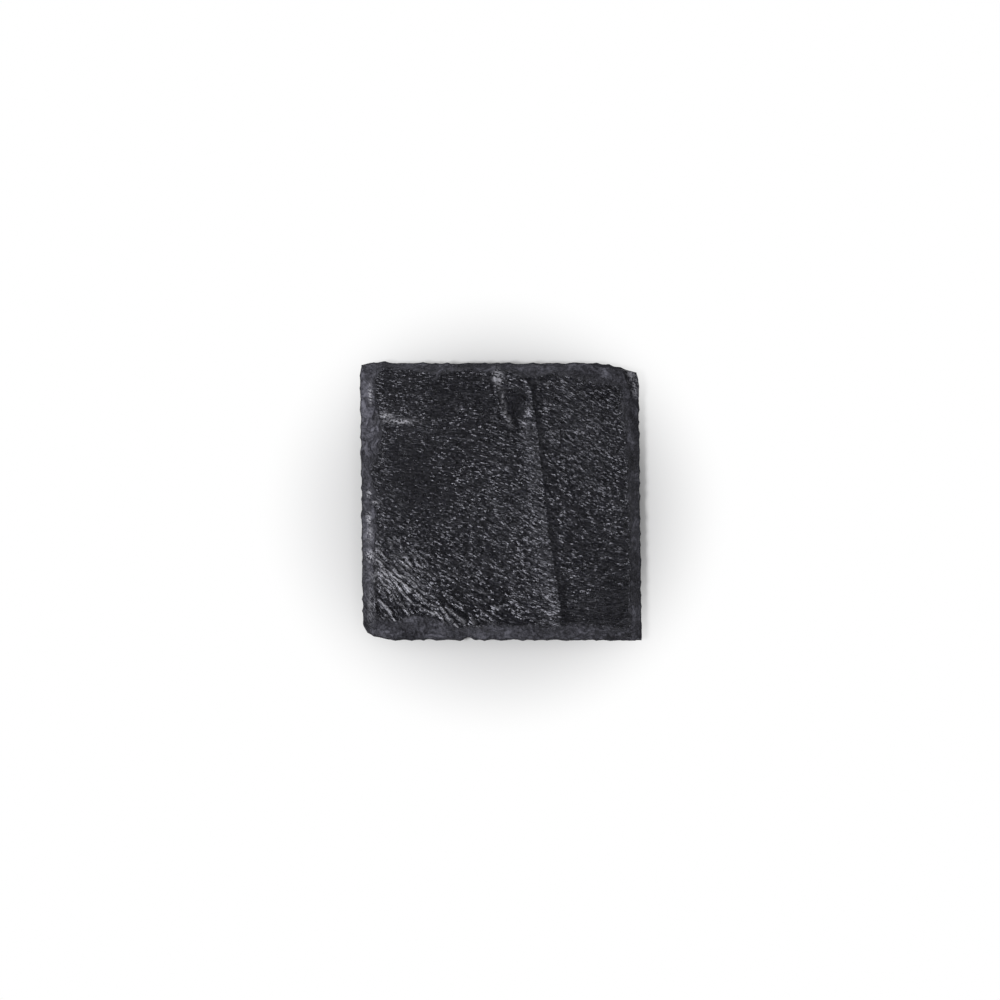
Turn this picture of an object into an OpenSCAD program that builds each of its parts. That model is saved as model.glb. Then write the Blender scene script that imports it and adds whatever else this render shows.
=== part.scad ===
// Square drink coaster: one riven slate with hand-dressed edges, on four stick-on foam feet.
// Millimetres, +Z up. The origin is under the middle of the coaster, on the surface it stands on.
// +X is the right side and +Y is the back. Sides run anticlockwise seen from above: front, right, back, left.
// The rim is the upper line of the dressed bevel, where the riven face begins.

/* [Slate] */
// Width of the slate between its left and right edges
slate_w = 100; // [80:1:120]
// Depth of the slate between its front and back edges
slate_d = 100; // [80:1:120]
// Thickness of the slate from its underside to its highest point
slate_t = 5; // [4:0.1:8]
// How far the back edge stands to the left of the front edge
lean = 1.1; // [0:0.1:4]

/* [Dressed edge] */
// Usual width of the dressed bevel, from the outer edge to the riven face
bevel_w = 5; // [3:0.1:7]
// Height of the rough wall under the bevel
edge_t = 1.7; // [1.2:0.05:2.5]
// Width of that wall, from its outermost line to the foot of the bevel
wall_w = 0.5; // [0.3:0.05:1]
// How far the underside draws in from the outermost line
under_in = 0.35; // [0.1:0.05:0.8]
// Depth of the bites that scallop the outer edge
nibble_h = 0.45; // [0:0.05:0.8]
// Length of one such bite along the edge
nibble_l = 5.6; // [4:0.1:9]
// Depth of the flakes that scallop the rim
flake_h = 0.8; // [0:0.05:1.5]
// Length of one such flake along the rim
flake_l = 9; // [6:0.1:14]

/* [Split corner] */
// How far the split takes the upper layer back from the right edge of the lower one
split_x = 3.8; // [2:0.1:6]
// How far the split takes the upper layer back from the back edge of the lower one
split_y = 0.3; // [0.1:0.1:2]
// Length of the split along the right edge
split_run = 13.6; // [8:0.1:20]
// Height of the bared lower layer, as a share of the rise from the wall to the rim
ledge_share = 0.25; // [0.15:0.01:0.4]
// Height of the torn face above the lower layer, as a share of the rise left to the rim
tear_share = 0.5; // [0.3:0.01:0.8]

/* [Riven face] */
// Depth of the broad waves of the split face
wave_h = 0.25; // [0:0.05:0.5]
// Length of the broad waves
wave_l = 38; // [20:1:60]
// Height of the long ridge that crosses the face from front to back
ridge_h = 0.45; // [0.1:0.05:0.8]
// Width of the steep side of that ridge
ridge_w = 1.6; // [0.8:0.1:4]
// Width of its gentle side
ridge_slope_w = 9; // [4:0.5:20]
// Depth of the shallow valley left of the ridge
valley_h = 0.15; // [0:0.05:0.4]
// Width of that valley
valley_w = 7; // [4:0.5:12]
// Depth of the flake scar near the back edge
scar_h = 0.55; // [0.1:0.05:0.9]
// Length of the flake scar
scar_l = 24; // [14:1:32]
// Width of the flake scar
scar_w = 13; // [8:0.5:18]

/* [Feet] */
// Diameter of a foam foot
foot_d = 12; // [8:0.5:16]
// Thickness of a foam foot
foot_t = 1.8; // [1:0.1:4]
// Width of the rounded lower rim of a foot
foot_round = 0.3; // [0.1:0.05:0.5]
// Thickness of the adhesive disc that holds a foot to the slate
adhesive_t = 0.2; // [0.1:0.05:0.5]
// How far the adhesive disc stays inside the rim of its foot
adhesive_in = 0.2; // [0.05:0.05:1]
// Distance from the slate's nearest edges to the middle of a foot
foot_in = 17; // [12:0.5:30]

/* [Hidden] */
$fn = 96;

FRONT = 0;
RIGHT = 1;
BACK = 2;
LEFT = 3;

// Steps of the mesh along one side; the face has as many rows and columns, and one column is the ridge
side_steps = 48;
around = 4 * side_steps;
ridge_step = 33;

// Corners as they are worn, as shares of the slate's width or depth. Each has its inset from the side edge
// and from the front or back edge, the length of its rounding along each of the two, how hollow it is there,
// and the width of the bevel across each as a share of the usual one.
worn_shares = [
    [0.021, 0.029, 0.093, 0.055, 1.9, 1.9, 0.95, 0.95],
    [0.004, 0.003, 0.015, 0.015, 1.5, 1.5, 0.85, 0.85],
    [0.011, 0.042, 0.135, 0.03, 1.3, 1.5, 0.3, 1.05],
    [0.009, 0.015, 0.034, 0.038, 1.5, 1.5, 0.95, 0.95]];
// Length of the split along the back edge, and how hollow the split is along each edge
split_back_share = 0.135;
split_back_hollow = 1;
split_side_hollow = 0.65;
// Length over which the lower layer dies out along the back edge
ledge_end_share = 0.04;

// Slow departures of the outer edge, as shares of the slate: where the back edge stands proud because
// its dressing stopped short, and where one bite is missing at the front
proud_shares = [0.0055, 0.91, 0.045];
notch_shares = [0.0095, 0.382, 0.028];

// Share of a side over which the rings of the edge come into line with each other
settle_share = 0.25;
// How soon the face's rows and columns straighten out away from the rim
rim_hold = 5;
// Width of the bevel along each side: [place along the side, width], as shares of the side's length
// and of the usual bevel width
bevel_shares = [
    [[0, 0.95], [0.08, 1.16], [0.13, 1.15], [0.18, 1.62], [0.23, 1.54], [0.27, 1.4], [0.31, 1.02],
        [0.345, 0.78], [0.39, 0.6], [0.435, 0.96], [0.5, 0.9], [0.63, 0.92], [0.675, 0.64], [0.705, 0.78],
        [0.745, 1], [0.8, 1], [0.86, 0.86], [0.95, 0.8], [1, 0.85]],
    [[0, 0.85], [0.1, 0.66], [0.2, 0.7], [0.29, 0.58], [0.34, 0.66], [0.42, 0.6], [0.5, 0.68], [0.63, 0.78],
        [0.71, 0.92], [0.78, 0.76], [0.87, 0.5], [1, 0.3]],
    [[0, 1.05], [0.083, 1.15], [0.14, 1.24], [0.18, 1.12], [0.25, 0.9], [0.316, 0.53], [0.36, 0.96],
        [0.4, 0.88], [0.446, 0.52], [0.532, 0.6], [0.582, 0.44], [0.64, 0.38], [0.696, 0.45], [0.735, 0.6],
        [0.782, 0.54], [0.83, 0.36], [0.9, 0.32], [0.95, 0.6], [1, 0.95]],
    [[0, 0.95], [0.04, 0.95], [0.13, 0.96], [0.2, 1.2], [0.264, 1.5], [0.33, 1.1], [0.405, 0.52],
        [0.45, 0.78], [0.5, 0.9], [0.63, 0.88], [0.72, 0.78], [0.81, 0.66], [0.89, 0.76], [1, 0.95]]];

// Rings of the edge, from the underside up to the rim. Each has its share of the underside's draw-in,
// of the wall's width and of the bevel's width, its height as a share of the wall's height, and its height
// as a share of the rise from there to the rim.
ring_shares = [
    [1, 0, 0, 0, 0],
    [0, 0, 0, 0.4, 0],
    [0, 0.2, 0, 0.72, 0],
    [0, 0.55, 0, 0.86, 0],
    [0, 1, 0, 1, 0],
    [0, 1, 0.3, 1, 0.25],
    [0, 1, 0.64, 1, 0.58],
    [0, 1, 1, 1, 1]];
// The split parts the rings: up to this one they are the lower layer's, and the next is the foot of the tear
LEDGE_RIM = 2;
RIM = len(ring_shares) - 1;

// Lines across the face: [place from front to back, place from left to right], as shares of the face
ridge_shares = [[0, 0.713], [0.105, 0.715], [0.342, 0.69], [0.565, 0.668], [0.76, 0.649], [0.9, 0.627],
    [0.968, 0.61], [1, 0.58]];
valley_shares = [[0, 0.616], [0.12, 0.527], [0.34, 0.407], [0.51, 0.339], [0.6, 0.246], [1, 0.1]];
// Place of the flake scar's middle, as shares of half the slate, and its turn from the back edge's normal
scar_at_shares = [0.08, 0.77];
scar_turn = 14;
// The share of its width that lies left of its deepest line
scar_left_share = 0.4;

foot_x = slate_w / 2 - foot_in;
foot_y = slate_d / 2 - foot_in;
underside_z = foot_t + adhesive_t;

// Plain helpers
function mix(a, b, q) = a + (b - a) * q;
function clamp01(q) = max(0, min(1, q));
function smooth(q) = let (c = clamp01(q)) c * c * (3 - 2 * c);
function fade(s, run, hollow) = s >= run ? 0 : pow(1 - max(0, s) / run, hollow);
function bump(s, half) = abs(s) >= half ? 0 : pow(cos(90 * s / half), 2);
function chance(n) = let (v = sin(n * 127.1) * 43.7585) v - floor(v);
function along_front_or_back(side) = side % 2 == 0;
function side_length(side) = along_front_or_back(side) ? slate_w : slate_d;

// Value of a table of [place, value] rows at a place, on a cubic curve through the rows
function table_slope(table, row) =
    let (a = table[max(0, row - 1)], b = table[min(len(table) - 1, row + 1)])
    (b[1] - a[1]) / (b[0] - a[0]);
function along_table(table, at, row = 0) =
    row < len(table) - 2 && at > table[row + 1][0]
        ? along_table(table, at, row + 1)
        : let (a = table[row], b = table[row + 1], run = b[0] - a[0], q = clamp01((at - a[0]) / run))
            mix(a[1], b[1], q * q * (3 - 2 * q))
                + run * q * (1 - q) * (table_slope(table, row) * (1 - q) - table_slope(table, row + 1) * q);

// Depth of a run of hollow bites at a distance along a side; each bite has its own depth and length
function bites(side, s, depth, pitch) =
    let (shifted = s + pitch / 4 * sin(360 * s / (pitch * 3.7) + 90 * side),
        bite = floor(shifted / pitch),
        q = shifted / pitch - bite)
    depth * mix(0.35, 1, chance(bite + 31 * side + 7)) * 4 * q * (1 - q);

// Slow departures of an edge from a straight line
function swell(row, s) = slate_d * row[0] * bump(s - row[1] * slate_w, row[2] * slate_w);
function wander(side, s) =
    side == BACK ? slate_d * proud_shares[0] - swell(proud_shares, s)
    : side == FRONT ? swell(notch_shares, s)
    : 0;

// Inset of a ring from the straight side, before its corners are worn
function open_inset(side, s, ring) =
    let (r = ring_shares[ring])
    bites(side, s, nibble_h, nibble_l) * (1 - r[2]) + wander(side, s) + r[0] * under_in + r[1] * wall_w
        + r[2] * (bevel_w * along_table(bevel_shares[side], s / side_length(side))
            + bites(side, s, flake_h, flake_l));

// A corner's row for a ring, in real lengths: the upper layer is split off further back at the back right,
// from where the back edge of the lower one runs there
function corner_row(corner, ring) =
    let (w = worn_shares[corner],
        worn = [w[0] * slate_w, w[1] * slate_d, w[2] * slate_w, w[3] * slate_d, w[4], w[5], w[6], w[7]],
        lower_edge = mix(slate_d * proud_shares[0] + nibble_h, worn[1], fade(split_x, worn[2], worn[4])))
    corner == 2 && ring > LEDGE_RIM
        ? [worn[0] + split_x, lower_edge + split_y, split_back_share * slate_w, split_run,
            split_back_hollow, split_side_hollow, worn[6], worn[7]]
        : worn;

// Insets of a ring at a corner, from the side edge and from the front or back edge
function corner_insets(corner, ring) =
    let (row = corner_row(corner, ring), r = ring_shares[ring], more = r[0] * under_in + r[1] * wall_w)
    [row[0] + more + r[2] * row[6] * bevel_w, row[1] + more + r[2] * row[7] * bevel_w];

// A ring at a share of the way along a side: its distance from the side's first corner, and its inset
function ring_place(side, t, ring) =
    let (length = side_length(side),
        cross = along_front_or_back(side) ? 1 : 0,
        first = corner_row(side, ring),
        last = corner_row((side + 1) % 4, ring),
        first_insets = corner_insets(side, ring),
        last_insets = corner_insets((side + 1) % 4, ring),
        start = first_insets[1 - cross],
        end = length - last_insets[1 - cross],
        s = t * length + start * (1 - min(1, t / settle_share))
            - (length - end) * (1 - min(1, (1 - t) / settle_share)),
        first_more = first_insets[cross] - open_inset(side, start, ring),
        last_more = last_insets[cross] - open_inset(side, end, ring))
    [s, open_inset(side, s, ring)
        + first_more * fade(s - start, first[3 - cross], first[5 - cross])
        + last_more * fade(end - s, last[3 - cross], last[5 - cross])];

// Plan position of a ring's point: the slate's corners are square before it leans
function ring_plan(side, t, ring) =
    let (place = ring_place(side, t, ring), s = place[0], inset = place[1],
        p = side == FRONT ? [s - slate_w / 2, inset - slate_d / 2]
            : side == RIGHT ? [slate_w / 2 - inset, s - slate_d / 2]
            : side == BACK ? [slate_w / 2 - s, slate_d / 2 - inset]
            : [inset - slate_w / 2, slate_d / 2 - s])
    [p[0] - lean * p[1] / slate_d, p[1]];

// Share of the face's width at a column, so that the ridge runs along its own column
function column_share(q, v) =
    let (ridge = along_table(ridge_shares, v), turn = ridge_step / side_steps)
    q < turn ? ridge * q / turn : mix(ridge, 1, (q - turn) / (1 - turn));

// Share of the way along a side at a step of the mesh, and the same point as shares of the face
function side_share(side, q) =
    side == FRONT ? column_share(q, 0) : side == BACK ? 1 - column_share(1 - q, 1) : q;
function face_shares(side, t) =
    side == FRONT ? [t, 0] : side == RIGHT ? [1, t] : side == BACK ? [1 - t, 1] : [0, 1 - t];

// How far the lower layer is bared, from 0 to 1
function bared(side, t) =
    side == RIGHT ? smooth(2.2 * (1 - (1 - t) * slate_d / split_run))
    : side == BACK ? smooth(1 - t / ledge_end_share)
    : 0;

// Height of the ridge's profile at a signed distance from its line, gentle on the left and steep on the right
function ridge_profile(dx) =
    dx < 0 ? ridge_h * (exp(dx / ridge_slope_w) - 1)
    : -ridge_h * (mix(1, 0.3, 1 - exp(-dx / (3 * ridge_slope_w))) - exp(-dx / ridge_w));

// Depth of the flake scar at a point
function scar_depth(p) =
    let (dx = p[0] - scar_at_shares[0] * slate_w / 2,
        dy = p[1] - scar_at_shares[1] * slate_d / 2,
        cross = dx * cos(scar_turn) + dy * sin(scar_turn),
        along = dy * cos(scar_turn) - dx * sin(scar_turn),
        half = scar_w * (cross < 0 ? scar_left_share : 1 - scar_left_share),
        q = 1 - pow(cross / half, 2) - pow(2 * along / scar_l, 2))
    q <= 0 ? 0 : scar_h * smooth(1.5 * q);

// Height of the riven face at a point, before its highest point is set to the slate's thickness
function raw_face(p, uv) =
    wave_h * (0.5 * sin(360 * (0.82 * p[0] + 0.57 * p[1]) / wave_l + 60)
        + 0.3 * sin(360 * (0.4 * p[0] - 0.92 * p[1]) / (0.71 * wave_l) + 200)
        + 0.2 * sin(360 * (0.95 * p[0] + 0.3 * p[1]) / (0.47 * wave_l)))
    + ridge_profile(face_w * (uv[0] - along_table(ridge_shares, uv[1])))
    - valley_h * exp(-pow(face_w * (uv[0] - along_table(valley_shares, uv[1])) / valley_w, 2))
    - scar_depth(p);

// How far the rim departs from the straight line between a side's corners
function rim_off(side, t) =
    ring_plan(side, t, RIM) - mix(rim_corners[side], rim_corners[(side + 1) % 4], t);

// Plan points of the face: an even patch between the rim's corners, which takes up the rim's departures
// close to each side
function hold(q) = pow(1 - q, rim_hold);
function face_plan(uv) =
    let (u = uv[0], v = uv[1])
    mix(mix(rim_corners[0], rim_corners[1], u), mix(rim_corners[3], rim_corners[2], u), v)
        + rim_off(FRONT, u) * hold(v) + rim_off(BACK, 1 - u) * hold(1 - v)
        + rim_off(LEFT, 1 - v) * hold(u) + rim_off(RIGHT, v) * hold(1 - u);

rim_corners = [for (side = [0:3]) ring_plan(side, 0, RIM)];
face_w = rim_corners[1][0] - rim_corners[0][0];
sides = [for (i = [0:around - 1]) floor(i / side_steps)];
places = [for (i = [0:around - 1]) side_share(sides[i], i % side_steps / side_steps)];
edge_rings = [for (ring = [0:RIM]) [for (i = [0:around - 1]) ring_plan(sides[i], places[i], ring)]];
face_places = [for (row = [1:side_steps - 1], column = [1:side_steps - 1])
    let (v = row / side_steps) [column_share(column / side_steps, v), v]];
face_points = [for (uv = face_places) face_plan(uv)];
rim_heights = [for (i = [0:around - 1]) raw_face(edge_rings[RIM][i], face_shares(sides[i], places[i]))];
face_heights = [for (n = [0:len(face_points) - 1]) raw_face(face_points[n], face_places[n])];
face_top = max(max(rim_heights), max(face_heights));

// The outline's middle, which the origin is set under
outline_x = [for (ring = edge_rings, p = ring) p[0]];
outline_y = [for (ring = edge_rings, p = ring) p[1]];
middle = [(min(outline_x) + max(outline_x)) / 2, (min(outline_y) + max(outline_y)) / 2];

// Height of a ring's point above the underside
function ring_height(ring, i) =
    let (r = ring_shares[ring],
        rim_z = slate_t + rim_heights[i] - face_top,
        whole = r[3] * edge_t + r[4] * (rim_z - edge_t),
        ledge_z = mix(edge_t, rim_z, ledge_share),
        tear_z = mix(ledge_z, rim_z, tear_share),
        split = ring < LEDGE_RIM ? whole
            : ring == LEDGE_RIM ? r[3] * ledge_z
            : ring == LEDGE_RIM + 1 ? ledge_z
            : mix(tear_z, rim_z, r[4]))
    mix(whole, split, bared(sides[i], places[i]));

slate_points = [
    for (ring = [0:RIM], i = [0:around - 1])
        [edge_rings[ring][i][0] - middle[0], edge_rings[ring][i][1] - middle[1], ring_height(ring, i)],
    for (n = [0:len(face_points) - 1])
        [face_points[n][0] - middle[0], face_points[n][1] - middle[1], slate_t + face_heights[n] - face_top]];

// Number of the mesh point at a column and row of the face, whose border is the rim ring
function face_point(column, row) =
    row == 0 ? RIM * around + column
    : column == side_steps ? RIM * around + side_steps + row
    : row == side_steps ? RIM * around + 3 * side_steps - column
    : column == 0 ? RIM * around + 4 * side_steps - row
    : (RIM + 1) * around + (row - 1) * (side_steps - 1) + column - 1;

// Each cell of the face is folded along its more level diagonal
function fold_along(a, b) = abs(slate_points[a][2] - slate_points[b][2]);

slate_faces = [
    [for (i = [0:around - 1]) i],
    for (ring = [0:RIM - 1], i = [0:around - 1])
        let (a = ring * around + i, b = ring * around + (i + 1) % around)
        each [[a, a + around, b], [b, a + around, b + around]],
    for (row = [0:side_steps - 1], column = [0:side_steps - 1])
        let (a = face_point(column, row), b = face_point(column + 1, row),
            c = face_point(column + 1, row + 1), d = face_point(column, row + 1))
        each fold_along(a, c) < fold_along(b, d) ? [[a, d, c], [a, c, b]] : [[a, d, b], [b, d, c]]];

// The stone itself, with its flat underside on the adhesive discs
module slate() {
    color([0.15, 0.15, 0.17])
        translate([0, 0, underside_z])
            polyhedron(points = slate_points, faces = slate_faces, convexity = 4);
}

// One foam foot, die-cut, with a rounded lower rim
module foam_foot(x, y) {
    color([0.07, 0.07, 0.08])
        translate([x, y, 0])
            rotate_extrude()
                polygon([[0, 0], [foot_d / 2 - foot_round, 0], [foot_d / 2, foot_round],
                    [foot_d / 2, foot_t], [0, foot_t]]);
}

// One disc of double-sided adhesive film between a foot and the slate
module adhesive_disc(x, y) {
    color([0.85, 0.84, 0.8])
        translate([x, y, foot_t])
            cylinder(d = foot_d - 2 * adhesive_in, h = adhesive_t);
}

slate();
foam_foot(-foot_x, -foot_y);  // foot_front_left
foam_foot(foot_x, -foot_y);  // foot_front_right
foam_foot(foot_x, foot_y);  // foot_back_right
foam_foot(-foot_x, foot_y);  // foot_back_left
adhesive_disc(-foot_x, -foot_y);  // adhesive_front_left
adhesive_disc(foot_x, -foot_y);  // adhesive_front_right
adhesive_disc(foot_x, foot_y);  // adhesive_back_right
adhesive_disc(-foot_x, foot_y);  // adhesive_back_left
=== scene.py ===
"""A square drink coaster of riven slate with hand-dressed edges, on four stick-on foam feet.

The slate and the feet are built here as surfaces worked out with numpy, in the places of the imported
model's own parts. Lengths inside the functions are millimetres, and a finished mesh is in metres.
+X is the right side, +Y is the back and +Z is up, and the coaster stands on z = 0.
"""

import math
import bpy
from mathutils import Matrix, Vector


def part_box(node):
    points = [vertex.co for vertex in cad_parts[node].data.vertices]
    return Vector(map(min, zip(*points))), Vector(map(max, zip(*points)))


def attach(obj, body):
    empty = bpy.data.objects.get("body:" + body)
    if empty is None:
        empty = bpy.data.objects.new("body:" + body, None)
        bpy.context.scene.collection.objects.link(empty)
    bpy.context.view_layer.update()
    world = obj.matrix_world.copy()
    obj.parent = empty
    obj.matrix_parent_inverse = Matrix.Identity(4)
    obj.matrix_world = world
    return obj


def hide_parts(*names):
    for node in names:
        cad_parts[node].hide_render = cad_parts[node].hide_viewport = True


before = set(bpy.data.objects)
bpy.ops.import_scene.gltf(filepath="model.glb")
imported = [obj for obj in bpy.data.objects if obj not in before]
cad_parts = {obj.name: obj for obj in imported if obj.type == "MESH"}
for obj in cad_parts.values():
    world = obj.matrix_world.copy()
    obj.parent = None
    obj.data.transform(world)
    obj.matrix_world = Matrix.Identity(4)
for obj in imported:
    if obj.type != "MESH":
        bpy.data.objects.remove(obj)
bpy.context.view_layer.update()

from types import SimpleNamespace

import bpy
import numpy as np
from bpy.props import FloatProperty, FloatVectorProperty, PointerProperty
from bpy.types import Operator, Panel, PropertyGroup

bl_info = {
    "name": "Riven slate coaster",
    "version": (1, 0, 0),
    "blender": (4, 5, 0),
    "location": "View3D > Sidebar > Coaster",
    "description": "Builds a riven slate coaster on foam feet, its stage and its camera",
    "category": "Object",
}

MM = 0.001
SLATE_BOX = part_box("slate")

FRONT, RIGHT, BACK, LEFT = range(4)
FEET = ("front_left", "front_right", "back_right", "back_left")

# Columns and rows of the slate's mesh on the face, and on the underside half as many
COLUMNS = 200
ROWS = 304
RIDGE_COLUMN = 138
# Steps of the mesh between one ring of the edge and the next, from the underside up to the rim
RING_STEPS = (1, 2, 2, 2, 4, 4, 5)

# Rings of the edge, each with its share of the underside's draw-in, of the wall's width, of the bevel's
# width, of the wall's height and of the rise from there to the rim. The lower layer's rings end at
# LEDGE_RIM, and the next ring is the foot of the tear above it.
RING_SHARES = (
    (1, 0, 0, 0, 0),
    (0, 0, 0, 0.4, 0),
    (0, 0.2, 0, 0.72, 0),
    (0, 0.55, 0, 0.86, 0),
    (0, 1, 0, 1, 0),
    (0, 1, 0.3, 1, 0.25),
    (0, 1, 0.64, 1, 0.58),
    (0, 1, 1, 1, 1),
)
LEDGE_RIM = 2
RIM = len(RING_SHARES) - 1
WALL_TOP = 4

# Worn corners: inset from the side edge and from the front or back edge, run along each of the two, how
# hollow the corner is along each, and the bevel's share across each
WORN_SHARES = (
    (0.021, 0.029, 0.093, 0.055, 1.9, 1.9, 0.95, 0.95),
    (0.004, 0.003, 0.015, 0.015, 1.5, 1.5, 0.85, 0.85),
    (0.011, 0.042, 0.135, 0.03, 1.3, 1.5, 0.3, 1.05),
    (0.009, 0.015, 0.034, 0.038, 1.5, 1.5, 0.95, 0.95),
)
# The split corner: run of the split along the back edge, how hollow it is along the back and the side, and
# how far along the back its ledge reaches
SPLIT_BACK_SHARE = 0.135
SPLIT_BACK_HOLLOW = 1
SPLIT_SIDE_HOLLOW = 0.65
LEDGE_END_SHARE = 0.04
# Swell of the back edge and bite of the front edge: depth, place along the edge, and half length
PROUD_SHARES = (0.0055, 0.91, 0.045)
NOTCH_SHARES = (0.0095, 0.382, 0.028)
# Share of a side within which the places along it draw away from a corner
SETTLE_SHARE = 0.25
# How fast the rim's departures from straight lines die out across the face, as a power
RIM_HOLD = 5

# Width of the bevel along each side: place along the side, and share of the usual width
BEVEL_SHARES = (
    ((0, 0.95), (0.08, 1.16), (0.13, 1.15), (0.18, 1.62), (0.23, 1.54), (0.27, 1.4), (0.31, 1.02),
     (0.345, 0.78), (0.39, 0.6), (0.435, 0.96), (0.5, 0.9), (0.63, 0.92), (0.675, 0.64), (0.705, 0.78),
     (0.745, 1), (0.8, 1), (0.86, 0.86), (0.95, 0.8), (1, 0.85)),
    ((0, 0.85), (0.1, 0.66), (0.2, 0.7), (0.29, 0.58), (0.34, 0.66), (0.42, 0.6), (0.5, 0.68),
     (0.63, 0.78), (0.71, 0.92), (0.78, 0.76), (0.87, 0.5), (1, 0.3)),
    ((0, 1.05), (0.083, 1.15), (0.14, 1.24), (0.18, 1.12), (0.25, 0.9), (0.316, 0.53), (0.36, 0.96),
     (0.4, 0.88), (0.446, 0.52), (0.532, 0.6), (0.582, 0.44), (0.64, 0.38), (0.696, 0.45), (0.735, 0.6),
     (0.782, 0.54), (0.83, 0.36), (0.9, 0.32), (0.95, 0.6), (1, 0.95)),
    ((0, 0.95), (0.04, 0.95), (0.13, 0.96), (0.2, 1.2), (0.264, 1.5), (0.33, 1.1), (0.405, 0.52),
     (0.45, 0.78), (0.5, 0.9), (0.63, 0.88), (0.72, 0.78), (0.81, 0.66), (0.89, 0.76), (1, 0.95)),
)
# Lines across the face: place from front to back, and place from left to right
RIDGE_SHARES = ((0, 0.713), (0.105, 0.715), (0.342, 0.69), (0.565, 0.668), (0.76, 0.649), (0.9, 0.627),
                (0.968, 0.61), (1, 0.58))
VALLEY_SHARES = ((0, 0.616), (0.12, 0.527), (0.34, 0.407), (0.51, 0.339), (0.6, 0.246), (1, 0.1))
# The flake scar: its middle, its turn, and the share of its width to the left of the middle
SCAR_AT_SHARES = (0.08, 0.77)
SCAR_TURN = math.radians(14)
SCAR_LEFT_SHARE = 0.4
# How steep its wall is at the left and at the right, how deep its floor lies at the left and at the right of
# two places across it, and the lip's height, reach and fade towards the middle
SCAR_WALLS = (1.9, 1.15)
SCAR_FLOOR_SHARES = (0.6, 0.5)
SCAR_RISE_SHARES = (-0.3, 0.5)
SCAR_LIP_SHARE = 0.5
SCAR_LIP_REACH = 0.2
SCAR_LIP_FADE = 2

# Which way the ripples of the split run: place on the face, and degrees that they fall towards the right
GRAIN_LINES = (
    (-44, -40, 55), (-44, -24, 48), (-34, -34, 49), (-33, -22, 38), (-22, -40, 31), (-22, -28, 32),
    (-6, -40, 28), (-6, -30, 29), (8, -34, 32), (18, -36, 32), (-44, -8, 29), (-32, -10, 24),
    (-20, -12, 18), (-8, -20, 24), (-8, -8, 27), (8, -18, 22), (20, -20, 30), (12, -4, 19), (22, -4, 30),
    (33, -4, 22), (44, -4, 23), (-42, 8, 22), (-31, 8, 14), (-18, 6, 20), (-4, 8, 12), (8, 10, 20),
    (18, 12, 38), (30, 12, 28), (43, 12, 27), (-36, 20, 12), (-20, 20, 8), (-8, 20, 8), (8, 24, 28),
    (20, 26, 36), (31, 26, 27), (43, 26, 30), (-36, 36, 12), (-22, 36, 3), (-10, 38, 8), (12, 40, 28),
    (24, 40, 22), (42, 40, 24), (30, -18, 8), (43, -16, 12), (30, -32, -4), (44, -32, -10),
)
# Powers of x and y in the grain's two coordinates, and the weight of their even spacing
GRAIN_POWERS = [(i, n - i) for n in range(1, 5) for i in range(n, -1, -1)]
GRAIN_SPACING_WEIGHT = 0.35

# The ripples' three layers of noise: cells across and along the grain in ripple spacings, and how much
# each layer cuts, from a level that leaves the highest stone uncut
RIPPLE_CELLS = ((0.85, 9), (0.6, 5), (2.4, 3.4))
RIPPLE_CUTS = (0.45, 0.55, 0.25)
RIPPLE_LEVEL = 0.65
LEAST_RIPPLE = 0.15
# Cells of the noise that bends the ripples, and how far it does
RIPPLE_BENDS = (9, 14)
RIPPLE_BEND = 0.8
# How far the ripples' height moves them on, in their own cells
RIPPLE_SKEW = 0.3
# The long torn steps: cells and turns of the two noises that bend them, cells of the one that their height
# follows, and their mean and least height
TEAR_BENDS = ((6, 13), (2.2, 4))
TEAR_BEND_TURNS = (1.1, 0.55)
TEAR_HEIGHT_CELLS = (2.4, 8)
TEAR_MEAN = 0.62
LEAST_TEAR = 0.1
# The short steps: how much they slant, and how far the low ripples bend them, in turns
FACET_SLANT = 0.3
FACET_BEND = 0.4
# Shares of a turn in which the long torn steps and the short ones climb, and in which both fall
TEAR_CLIMB = 0.42
FACET_CLIMB = 0.72
STEP_FALL = 0.28
# How much of the ripples the long and the short steps take away
TEARS_TAKE = 0.7
FACETS_TAKE = 0.8
# Depth to which the ripples settle at the rim, and the reach of that
RIM_CUT = 0.12
RIM_REACH = 1.8

# How strong the ripples are: middle of a patch, its reach across and along, and what it adds
RIPPLE_PATCHES = (
    (-42, -30, 10, 14, 0.25), (-30, 4, 14, 12, -0.15), (-26, 38, 20, 10, -0.15), (-24, 18, 14, 8, -0.1),
    (-37, 28, 7, 3, 0.4), (6, 34.5, 5.5, 7, -1.1), (40, 40, 9, 6, -0.35), (34, -34, 13, 12, -0.1),
    (0, -18, 12, 24, 0.2), (26, 26, 13, 10, 0.35), (-1.1, 44, 3, 4, 0.3), (-18, -20, 10, 6, -0.1),
    (20, 2, 9, 18, -0.15),
)
# How far the small facets lean towards the lamp, in the same way
LEAN_PATCHES = (
    (-30, 4, 13, 11, -0.2), (-26, 38, 20, 9, -0.17), (-24, 18, 14, 8, -0.12), (-40, -8, 8, 8, -0.05),
    (28, 26, 13, 12, 0.1), (34, -36, 13, 13, 0.17), (-12, -12, 7, 7, -0.1), (6, -30, 8, 14, 0.05),
    (8, 27, 4, 3, 0.04), (-37, 28.6, 6, 1.5, 0.4), (-41, 30.2, 3, 1.2, 0.3),
    (-40, -34, 10, 10, 0.05), (24, 30, 12, 9, 0.05),
)
LEAN_EVERYWHERE = 0.05
# The same in bands along the ridge: distance right of its line, reach, and what each adds. They fade out
# towards the back.
LEAN_BANDS = ((-2.8, 4, 0.3), (1.5, 2.2, -0.17))
LEAN_BANDS_END = 36
LEAN_BANDS_FADE = 10
# Where the face is level but for its small facets, in the same way
LEVEL_PATCHES = ((36, -36, 14, 11, 0.5), (-24, 38, 18, 8, 0.2))
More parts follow.
